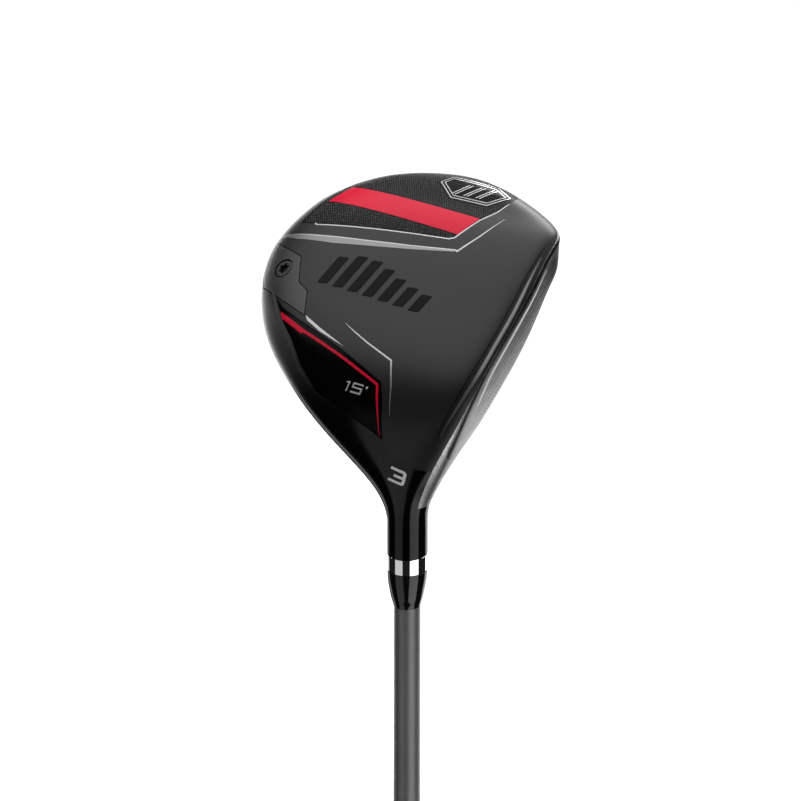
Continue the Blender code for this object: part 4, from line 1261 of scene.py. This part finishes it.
        # Painted highlight: the first stroke is the bright top edge of the long silver line, light on its
        # bevel; the others are bright silver lines.
        edge = stroke(((-65.0, -45.75), (-51.3, -45.85), (-35.0, -46.35), (-19.3, -47.4), (-4.4, -48.95),
                       (-3.5, -48.6), (1.2, -56.2), (5.5, -65.3)), (0.3, 0.42, 0.36, 0.34, 0.42, 0.6, 0.5,
                                                                    0.12))
        inner = stroke(((-55.7, -50.6), (-54.4, -50.2), (-21.5, -52.1), (-8.3, -52.75), (-6.6, -53.6),
                        (-1.9, -62.8),
                        (1.8, -67.8), (3.6, -72.2)), (0.7, 0.45, 0.4, 0.45, 0.5, 0.45, 0.4, 0.3))
        wedge = ((-43.2, -16.0), (-36.3, -12.3), (-25.5, -7.2), (-35.6, -10.9), (-41.8, -14.2))
        second = stroke(((-28.3, -15.2), (-24.0, -12.8), (-18.1, -9.8), (-8.2, -5.6), (-5.5, 2.0),
                         (-3.5, 10.5)),
                        (0.08, 0.3, 0.45, 0.55, 0.5, 0.08))
        bright = self.inlay("bright_lines", [edge, inner, wedge, second], 0.05, -0.15)
        present(bright, self.palette.bright, Body.CLUB, "silver")
        # Painted highlight: a light grey stroke along the pocket's left rim, as light on its bevel.
        rim = stroke(((-59.6, -24.0), (-57.3, -20.8), (-51.7, -12.9), (-45.9, -7.0), (-39.8, 0.5),
                      (-33.5, 5.7)),
                     (0.5, 1.0, 0.9, 0.75, 0.45, 0.08))
        present(self.inlay("pocket_rim", [rim], 0.03, -0.15), self.palette.edge, Body.CLUB, "satin_grey")
        # A slight raised bead, painted light grey as the highlight along the leading edge's ridge.
        bead = stroke(*softened(((22.9, -54.0), (22.9, -48.5), (22.9, -32.9), (22.0, -22.8), (20.7, -8.9),
                                 (18.0, 2.3), (13.9, 11.9)), (0.1, 0.5, 0.85, 0.85, 0.9, 0.8, 0.1)))
        present(self.inlay("edge_bead", [bead], 0.06, -0.15), self.palette.bead, Body.CLUB, "satin_grey")

    def bars(self) -> None:
        """The plain slanted bars across the middle of the sole."""
        shapes = []
        half, corner = self.bar_half_width, self.bar_corner
        for k, height in enumerate(self.bar_heights):
            x, y = -42.4 + 5.7 * k, -28.2 + 0.72 * k
            lean = self.bar_lean * height
            shapes.append(((x - half, y), (x + half - corner, y), (x + half, y - corner),
                           (x + half + lean, y - height), (x - half + corner + lean, y - height),
                           (x - half + lean, y - height + corner)))
        bars = self.inlay("sole_bars", shapes, 0.16, -0.3)
        present(bars, self.palette.pocket, Body.CLUB, "gloss_black")

    def figures(self) -> None:
        """The loft angle in the heel pocket and the club's number on its neck."""
        origin, across, up = Vector((-21.6, 5.6)), Vector((1.0, 0.10)), Vector((0.24, -1.0))

        def placed(x: float, y: float) -> Point2:
            """A point of a figure, across and up it, in the plan of the sole."""
            point = origin + across * x + up * y
            return point.x, point.y

        tall, thick = 3.0, 0.46
        one = [stroke((placed(0.1, tall - 0.5), placed(1.2, tall - 0.2)), (thick * 0.8,) * 2),
               stroke((placed(1.1, 0.0), placed(1.1, tall)), (thick, thick))]
        five = [stroke((placed(6.3, tall - 0.25), placed(2.75, tall - 0.25), placed(2.75, 1.62),
                        placed(6.05, 1.62),
                        placed(6.05, 0.25), placed(2.6, 0.25)), (thick,) * 6)]
        degree = [[placed(7.5 + 0.42 * math.cos(t), 2.5 + 0.42 * math.sin(t))
                   for t in np.arange(10) * math.pi / 5]]
        figure = self.inlay("loft_figures", [one[1]], -0.46, -0.65)
        for k, shape in enumerate([one[0], five[0], degree[0]]):
            figure.apply(Cut.JOIN, self.inlay(f"figure_{k}", [shape], -0.46, -0.65))
        present(figure, self.palette.mark, Body.CLUB, "silver")

        out = Vector((0.10, 0.84, -0.53)).normalized()
        right = Vector((1.0, 0.02, 0.30))
        right = (right - out * right.dot(out)).normalized()
        view = Matrix((right, out.cross(right), out)).transposed().to_4x4()
        view = Matrix.Translation(Vector((0.6, 23.1, 20.3)) * MM) @ view
        bars = [stroke(((-2.45, 2.2), (1.9, 2.2), (2.5, 1.75), (2.5, -1.85), (2.1, -2.2), (-2.45, -2.2)),
                       (0.95,) * 6),
                stroke(((-0.9, 0.0), (2.4, 0.0)), (0.95, 0.95))]
        three = None
        for k, shape in enumerate(bars):
            solid = self.skin.inlay("club_number" if three is None else f"bar_{k}",
                                    [[(x * MM, y * MM) for x, y in shape]], view, 0.04 * MM, -0.15 * MM,
                                    (-4 * MM, 12 * MM))
            three = solid if three is None else three.apply(Cut.JOIN, solid)
        present(three, self.palette.number, Body.CLUB, "silver")


@dataclass
class RearWeight:
    """The weight in the rear of the sole, and the captive screw that draws it out."""

    skin: Skin
    palette: Palette
    spot: Point2 = (6.54, 5.73)
    outline: tuple[Point2, ...] = ((-11.0, 10.0), (-4.8, -4.9), (4.6, -8.3), (7.7, -12.9), (16.8, -15.5),
                                   (10.4, -1.6), (6.4, 7.0), (-3.0, 11.4))
    plate_thickness: float = 1.6 * MM
    seat_gap: float = 0.3 * MM
    slug_radius: float = 6.0 * MM
    slug_length: float = 6.0 * MM
    head_radius: float = 3.1 * MM
    head_hole: float = 3.45 * MM
    head_sink: float = 0.2 * MM
    head_height: float = 2.35 * MM
    shank_radius: float = 2.72 * MM
    thread_pitch: float = 0.8 * MM
    thread_depth: float = 0.42 * MM
    socket: Point2 = (1.75 * MM, 0.32 * MM)
    socket_depth: float = 1.5 * MM
    clip_thickness: float = 0.7 * MM
    thread_length: float = 4.6 * MM
    insert_radius: float = 4.2 * MM
    rib_pitch: float = 0.62 * MM

    def __post_init__(self) -> None:
        """Works out the screw's frame: Z out of the sole along the screw, X to the heel."""
        u, v = self.spot
        step = 0.01
        loft = self.skin.loft
        here = loft.points(u, v)
        out = Vector(np.cross(loft.points(u + step, v) - here, loft.points(u,
                                                                           v + step) - here)).normalized()
        if out.z > 0:
            out.negate()
        heelward = Vector((0, 1, 0))
        heelward = (heelward - out * heelward.dot(out)).normalized()
        turn = Matrix((heelward, out.cross(heelward), out)).transposed().to_4x4()
        self.view = Matrix.Translation(here) @ turn
        rear = 1 if (self.view.to_3x3() @ Vector((0, 1, 0))).x < 0 else -1
        self.shape = anticlockwise([(x * MM, rear * y * MM) for x, y in self.outline])
        self.span = (-7.5 * MM, 9 * MM)

    def cut_seats(self, body: Solid) -> None:
        """Cuts the plate's seat and the bore for slug, screw and insert."""
        depth = self.plate_thickness + self.seat_gap
        seat = self.skin.seat("cut_plate", self.shape, self.view, depth, (0.05 * MM, 0.05 * MM), self.span)
        slug_end = -depth - self.slug_length
        port_end = slug_end - self.clip_thickness - 3 * self.seat_gap
        insert_end = port_end - self.thread_length - 4 * self.seat_gap
        wide, narrow = self.slug_radius + self.seat_gap, self.insert_radius + self.seat_gap
        port = turned("cut_port", ((0, insert_end), (narrow, insert_end), (narrow, port_end),
                                   (wide, port_end),
                                   (wide, self.span[1]), (0, self.span[1])), self.view)
        body.apply(Cut.AWAY, seat, port)

    def plate(self) -> Solid:
        """The cover plate, with fine slanting ribs and a hole for the screw's head."""
        plate = prism("weight_cover", grown(self.shape, -0.26 * MM), self.view, *self.span)
        plate.apply(Cut.KEEP, self.skin.shell(0.0)).apply(Cut.AWAY, self.skin.shell(-self.plate_thickness))
        ribs = Rows("plate_grooves", Tool.BAR, (1, 56), (0.0, self.rib_pitch), 0.16 * MM, 14 * MM, 60 * MM)
        grooves = ribs.build(self.view @ Matrix.Rotation(math.radians(38), 4, "Z"))
        field = prism("groove_field", grown(self.shape, -0.9 * MM), self.view, *self.span)
        clear, far = 4.6 * MM, 9 * MM
        ring = turned("cut_ring_field", ((0, -far), (clear, -far), (clear, far), (0, far)), self.view)
        grooves.apply(Cut.KEEP, field).apply(Cut.AWAY, ring, self.skin.shell(-0.06 * MM))
        plate.apply(Cut.AWAY, grooves)
        bevel = 0.12 * MM
        top = self.span[1]
        hole = turned("cut_hole", (
            (0, -9 * MM), (self.slug_radius + 0.3 * MM, -9 * MM), (self.slug_radius + 0.3 * MM,
                                                                   -self.plate_thickness),
            (self.head_hole, -self.plate_thickness), (self.head_hole, -bevel), (self.head_hole + 2 * bevel,
                                                                                bevel),
            (self.head_hole + 2 * bevel, top), (0, top)), self.view)
        return plate.apply(Cut.AWAY, hole)

    def slug(self) -> Solid:
        """The dense slug under the plate."""
        top = -self.plate_thickness - self.seat_gap
        end = top - self.slug_length
        base = -self.head_sink - self.head_height - self.seat_gap
        bore, rim, edge = 2.8 * MM, 3.7 * MM, 0.3 * MM
        return turned("weight_core", (
            (bore, end), (self.slug_radius - edge, end), (self.slug_radius, end + edge),
            (self.slug_radius, top - edge), (self.slug_radius - edge, top), (rim, top), (rim, base),
            (bore, base)),
            self.view)

    def screw(self) -> Solid:
        """The screw: a threaded shank, a chamfered head and a six-lobed socket."""
        top = -self.head_sink
        base = top - self.head_height
        tip = -self.plate_thickness - self.seat_gap - self.slug_length - self.clip_thickness \
            - 4 * self.seat_gap - self.thread_length
        sides, edge = 72, 0.28 * MM
        rows = int((base - tip) / self.thread_pitch * 12)
        rings = [[(self.shank_radius - self.thread_depth) * 0.8] * sides]
        heights = [tip - 0.15 * MM]
        for i in range(rows + 1):
            z = tip + (base - tip) * i / rows
            turn = z / self.thread_pitch - np.arange(sides) / sides
            wave = 1 - abs(2 * (turn % 1) - 1)
            plain = min(1.0, max(0.0, (z - tip - self.thread_length) / self.thread_pitch))
            taper = min(1.0, i / 10)
            cut = self.thread_depth * (1 - wave * taper) * (1 - plain)
            rings.append(list(self.shank_radius - cut))
            heights.append(z)
        for radius, z in ((self.head_radius, base + 0.01 * MM), (self.head_radius, top - edge),
                          (self.head_radius - edge, top)):
            rings.append([radius] * sides)
            heights.append(z)
        points = [Vector((r * math.cos(2 * math.pi * k / sides), r * math.sin(2 * math.pi * k / sides), z))
                  for ring, z in zip(rings, heights) for k, r in enumerate(ring)]
        count = len(rings) * sides
        faces = [tuple(range(sides - 1, -1, -1)), tuple(range(count - sides, count))]
        screw = Solid("captive_screw", [self.view @ p for p in points], faces + tube_faces(len(rings),
                                                                                           sides, False))
        mean, lobe = self.socket
        star = [(mean + lobe * math.cos(6 * t)) for t in np.arange(72) * math.pi / 36]
        outline = [(r * math.cos(k * math.pi / 36), r * math.sin(k * math.pi / 36)) for k,
                   r in enumerate(star)]
        return screw.apply(Cut.AWAY, prism("cut_socket", outline, self.view, top - self.socket_depth,
                                           9 * MM))

    def build(self) -> None:
        """Makes and dresses the moving pieces."""
        present(self.plate(), self.palette.plate, Body.WEIGHT, "satin_grey", "weight_plate")
        present(self.slug(), self.palette.tungsten, Body.WEIGHT, "tungsten", "weight_slug")
        present(self.screw(), self.palette.plate, Body.SCREW, "tungsten", "weight_screw", crease=40)


# ======================================================================== the shaft and the grip
def along_shaft(sizes: Sequence[Point2], start: float = 0.0) -> list[Point2]:
    """Profile corners in metres from (radius, height) in millimetres."""
    return [(r * MM, start + z * MM) for r, z in sizes]


@dataclass
class ShaftSet:
    """The shaft, its ferrule and the bright ring above it."""

    palette: Palette
    ring_height: float = 5.4
    ferrule_length: float = 13.0
    tip_radius: float = 4.25
    butt_radius: float = 7.6
    hosel_radius: float = 6.53

    def build(self) -> None:
        """Makes and dresses the three pieces."""
        hosel = CLUB_LENGTH - HOSEL_TOP
        ring, bore, edge = self.hosel_radius, self.tip_radius + 0.05, 0.08
        top = -0.12
        base = top - self.ring_height
        profile = along_shaft(((bore, base), (ring - edge, base), (ring, base + edge), (ring, top - edge),
                               (ring - edge, top), (bore, top)), hosel)
        present(turned("ferrule_band", profile, sides=128), self.palette.chrome, Body.CLUB, "bright_chrome",
                "ferrule_ring", head=False)
        top = base - 0.14
        wide = ring - 0.02
        sizes = [(0.0, wide - edge), (edge, wide), (2.5, wide - 0.12), (5.0, wide - 0.42), (7.8,
                                                                                            wide - 0.92),
                 (9.6, wide - 1.28), (10.8, wide - 1.6), (11.7, wide - 1.85), (12.5, wide - 2.03),
                 (self.ferrule_length, self.tip_radius + 0.12)]
        outer = [(r, top - z) for z, r in sizes][::-1]
        profile = along_shaft([(bore, top - self.ferrule_length), *outer, (bore, top)], hosel)
        present(turned("ferrule_sleeve", profile, sides=128), self.palette.gloss, Body.CLUB, "gloss_black",
                "ferrule",
                head=False, crease=40)
        low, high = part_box("shaft")
        wall = 1.3
        taper_top, taper_base = high.z - 110 * MM, low.z + (267 - 3.5) * MM
        outside = [(self.butt_radius * MM, low.z), (self.butt_radius * MM, taper_base)]
        steps = 24
        for k in range(1, steps + 1):
            share = k / steps
            radius = self.butt_radius + (self.tip_radius - self.butt_radius) * share
            outside.append((radius * MM, taper_base + (taper_top - taper_base) * share))
        outside.append((self.tip_radius * MM, high.z))
        inside = [(r - wall * MM, z) for r, z in (outside[-1], outside[-2], outside[1], outside[0])]
        present(turned("shaft_tube", [*outside, *inside], sides=96), self.palette.shaft, Body.CLUB,
                "shaft_grey",
                "shaft", head=False)


@dataclass
class Grip:
    """The slip-on grip, moulded like a wound strip, and its cap."""

    palette: Palette
    length: float = 267.0
    bore: float = 8.5
    butt: float = 12.9
    mouth: float = 10.1
    cap: float = 3.5
    winding: float = 19.0
    groove: float = 0.38
    groove_width: float = 1.1
    sides: int = 96
    rings: int = 420

    def radius(self, height: float) -> float:
        """The grip's radius at a height, in millimetres, without its pattern."""
        share = min(max((height - self.cap) / (self.length - self.cap), 0.0), 1.0)
        return self.butt + (self.mouth - self.butt) * (1.45 * share - 0.45 * share * share)

    def build(self) -> None:
        """Makes and dresses the grip, its dots and its cap."""
        sides, rows = self.sides, self.rings
        low, high = self.cap + 0.12, self.length
        points: list[Vector] = []
        for i in range(rows + 1):
            z = low + (high - low) * i / rows
            for k in range(sides):
                turn = z / self.winding - k / sides
                away = abs((turn + 0.5) % 1 - 0.5) * self.winding
                ends = min(1.0, max(0.0, (z - low - 7) / 2)) * min(1.0, max(0.0, (high - 9 - z) / 2))
                cut = self.groove * math.exp(-(away / self.groove_width) ** 2 * 2.2) * ends
                lip = 0.7 * max(0.0, 1 - (high - z) / 1.2) ** 2
                angle = 2 * math.pi * k / sides
                r = (self.radius(z) - cut - lip) * MM
                points.append(Vector((r * math.cos(angle), r * math.sin(angle), z * MM)))
        for z in (high, low):
            points += [Vector((self.bore * MM * math.cos(2 * math.pi * k / sides),
                               self.bore * MM * math.sin(2 * math.pi * k / sides),
                               z * MM)) for k in range(sides)]
        body = Solid("grip_sleeve", points, tube_faces(rows + 3, sides, closed=True))
        present(body, self.palette.rubber, Body.CLUB, "rubber", "grip", head=False, crease=50)
        present(self.dots(), self.palette.cap, Body.CLUB, "rubber", head=False, crease=60)
        r, edge = self.butt, 2.0
        curve = [(r - edge + edge * math.sin(t),
                  edge - edge * math.cos(t)) for t in np.linspace(0, math.pi / 2, 9)]
        profile = along_shaft([(0, 0.9), (1.2, 0.9), (1.5, 0.0), (r - 4.2, 0.0), (r - 4.0, 0.25),
                               (r - 3.6, 0.25),
                               (r - 3.4, 0.0), *curve, (r, self.cap), (0, self.cap)])
        present(turned("grip_end", profile, sides=96), self.palette.cap, Body.CLUB, "rubber", "grip_cap",
                head=False)

    def dots(self) -> Solid:
        """Small oval nubs that follow the winding, from a spiral."""
        pattern = Pattern("grip_nubs")
        turns = 11.0
        start = 20.0
        rise = turns * self.winding
        first = pattern.value("Start radius", "Float", (self.radius(start) + 0.02) * MM)
        last = pattern.value("End radius", "Float", (self.radius(start + rise) + 0.02) * MM)
        height = pattern.value("Height", "Float", rise * MM)
        rotations = pattern.value("Rotations", "Float", turns)
        count = pattern.value("Count", "Int", 616)
        size = pattern.value("Nub size", "Float", 0.55 * MM)
        spiral = pattern.add("GeometryNodeCurveSpiral", {"Resolution": 64, "Rotations": rotations,
                                                         "Start Radius": first, "End Radius": last,
                                                         "Height": height})
        points = pattern.add("GeometryNodeCurveToPoints", {"Curve": spiral.outputs[0], "Count": count})
        lift = pattern.add("GeometryNodeTransform", {"Geometry": points.outputs[0],
                                                     "Translation": (0, 0,
                                                                     (start + self.winding / 2) * MM)})
        place = pattern.add("GeometryNodeInputPosition").outputs[0]
        flat = pattern.add("ShaderNodeVectorMath", {0: place, 1: (1, 1, 0)},
                           operation="MULTIPLY").outputs[0]
        facing = pattern.add("FunctionNodeAlignRotationToVector", {"Vector": flat}, axis="Z")
        nub = pattern.add("GeometryNodeMeshIcoSphere", {"Radius": size, "Subdivisions": 2})
        squashed = pattern.add("GeometryNodeTransform", {"Geometry": nub.outputs[0],
                                                         "Scale": (1.5, 0.8, 0.45)})
        copies = pattern.add("GeometryNodeInstanceOnPoints", {"Points": lift.outputs[0],
                                                              "Instance": squashed.outputs[0],
                                                              "Rotation": facing.outputs[0]})
        return pattern.finish("grip_nubs", copies.outputs[0])


def dress_inner_pieces(palette: Palette) -> None:
    """Gives the CAD nodes that stay their finishes."""
    finishes = {"tip_plug": palette.foam, "grip_tape": palette.tape, "thread_insert": palette.tungsten,
                "screw_retainer": palette.silver}
    for name, material in finishes.items():
        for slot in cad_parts[name].material_slots:
            slot.material = material


# ======================================================================== the studio
@dataclass(frozen=True)
class Panel:
    """A soft light, placed by its direction as the camera sees it from the head."""

    name: str
    bearing: float              # degrees to the right of the camera
    rise: float                 # degrees above the head
    distance: float
    size: Point2                # across and up
    glow: float                 # radiance


@dataclass(frozen=True)
class Studio:
    """Floor, lights and camera."""

    elevation: float = math.radians(25.96)
    azimuth: float = math.radians(26.88)
    distance: float = 1.466
    lens: float = 214.7
    slide: Point2 = (-2.2 * MM, -6.75 * MM)
    head: tuple[float, float, float] = (0.0, 0.02, 1.05)
    room_glow: float = 0.012
    floor_glow: float = 1.1
    floor_half: float = 30.0
    floor_level: float = -0.001
    panels: tuple[Panel, ...] = (
        Panel("overhead", -135, 66, 1.5, (1.7, 1.5), 2.3),
        Panel("edge_right", 110, 24, 1.4, (0.5, 1.1), 1.5),
        Panel("corner", 160, 36, 1.5, (0.95, 0.65), 12.0),
        Panel("ridge", 60, 52, 1.4, (0.6, 0.7), 2.4),
        Panel("front_left", -47, -20, 1.5, (1.05, 2.3), 0.62),
        Panel("front_right", 40, -20, 1.5, (1.2, 2.3), 1.8),
        Panel("back_left", -129, -20, 1.6, (0.6, 2.2), 0.8),
        Panel("skirt_left", -160, -12, 1.6, (1.3, 1.2), 3.6),
        Panel("back_right", 150, -14, 1.6, (1.5, 1.7), 1.7),
    )

    def axes(self) -> tuple[Vector, Vector, Vector]:
        """Towards the camera, to its right and up."""
        e, a = self.elevation, self.azimuth
        toward = Vector((math.cos(e) * math.sin(a), -math.cos(e) * math.cos(a), math.sin(e)))
        right = Vector((math.cos(a), math.sin(a), 0))
        return toward, right, toward.cross(right)

    def camera(self) -> None:
        """Looks at the sole from the heel side, a little above."""
        toward, right, up = self.axes()
        data = bpy.data.cameras.new("camera")
        data.lens = self.lens
        data.sensor_width = 36
        data.clip_start, data.clip_end = 0.05, 60
        camera = bpy.data.objects.new("camera", data)
        bpy.context.scene.collection.objects.link(camera)
        target = Vector((0, 0, CLUB_LENGTH)) + right * self.slide[0] + up * self.slide[1]
        turn = Matrix((right, up, toward)).transposed().to_4x4()
        camera.matrix_world = Matrix.Translation(target + toward * self.distance) @ turn
        bpy.context.scene.camera = camera

    def lights(self) -> None:
        """Places the soft panels round the head."""
        head = Vector(self.head)
        flat = Vector((math.sin(self.azimuth), -math.cos(self.azimuth), 0))
        right = self.axes()[1]
        for panel in self.panels:
            turn, rise = math.radians(panel.bearing), math.radians(panel.rise)
            level = flat * math.cos(turn) + right * math.sin(turn)
            way = level * math.cos(rise) + Vector((0, 0, math.sin(rise)))
            data = bpy.data.lights.new(panel.name, "AREA")
            data.shape = "RECTANGLE"
            data.size, data.size_y = panel.size
            data.energy = panel.glow * math.pi * panel.size[0] * panel.size[1]
            light = bpy.data.objects.new(panel.name, data)
            light.matrix_world = Matrix.Translation(head + way * panel.distance) @ way.to_track_quat(
                "Z", "Y").to_matrix().to_4x4()
            light.visible_camera = False
            bpy.context.scene.collection.objects.link(light)

    def floor(self) -> None:
        """A wide pale floor that doesn't show in reflections."""
        half, low = self.floor_half, self.floor_level
        mesh = bpy.data.meshes.new("floor")
        mesh.from_pydata([(-half, -half, low), (half, -half, low), (half, half, low), (-half, half, low)],
                         [],
                         [(0, 1, 2, 3)])
        board = Board("floor_white")
        tone = board.noise(3.0, 2.0)
        board.drive("Base Color", board.blend(tone, (0.80, 0.80, 0.80), (0.84, 0.84, 0.84)))
        board.drive("Roughness", 0.9)
        board.shader.inputs["Emission Color"].default_value = (1, 1, 1, 1)
        board.shader.inputs["Emission Strength"].default_value = self.floor_glow
        mesh.materials.append(board.material)
        floor = bpy.data.objects.new("floor", mesh)
        bpy.context.scene.collection.objects.link(floor)
        floor.visible_glossy = False
        floor.visible_diffuse = False

    def world(self) -> None:
        """White behind the club, and a dim room in its reflections."""
        world = bpy.data.worlds.new("room")
        world.use_nodes = True
        nodes, links = world.node_tree.nodes, world.node_tree.links
        seen = nodes.new("ShaderNodeLightPath")
        strength = nodes.new("ShaderNodeMix")
        strength.inputs[2].default_value = self.room_glow
        strength.inputs[3].default_value = 1.0
        background = nodes["Background"]
        background.inputs["Color"].default_value = (1, 1, 1, 1)
        links.new(seen.outputs["Is Camera Ray"], strength.inputs[0])
        links.new(strength.outputs[0], background.inputs["Strength"])
        bpy.context.scene.world = world
        bpy.context.scene.view_settings.view_transform = "Standard"

    def build(self) -> None:
        """Sets up all of it."""
        self.camera()
        self.lights()
        self.floor()
        self.world()


def main() -> None:
    """Builds the club's looks, piece by piece, and then the studio."""
    logging.basicConfig(level=logging.INFO, format="%(message)s")
    palette = Palette()
    skin = Skin(HeadLoft())
    shell = HeadShell(skin)
    trim = SoleTrim(skin, palette)
    weight = RearWeight(skin, palette)

    body = shell.cast()
    shell.cut_seats(body)
    trim.cut_seats(body)
    weight.cut_seats(body)
    shell.paint_fields(body)
    present(body, palette.head, Body.CLUB, "satin_grey", "head_body")
    present(shell.face_plate(), palette.face, Body.CLUB, "face_steel", "face_plate")
    present(shell.crown_cover(), palette.crown, Body.CLUB, "gloss_black", "crown_shell")
    present(shell.crown_mark(), palette.mark, Body.CLUB, "silver")
    trim.toe_pieces()
    trim.heel_pieces()
    trim.lines()
    trim.bars()
    trim.figures()
    weight.build()
    ShaftSet(palette).build()
    Grip(palette).build()
    dress_inner_pieces(palette)
    Solid.discard()
    Studio().build()


if __name__ == "__main__":
    main()
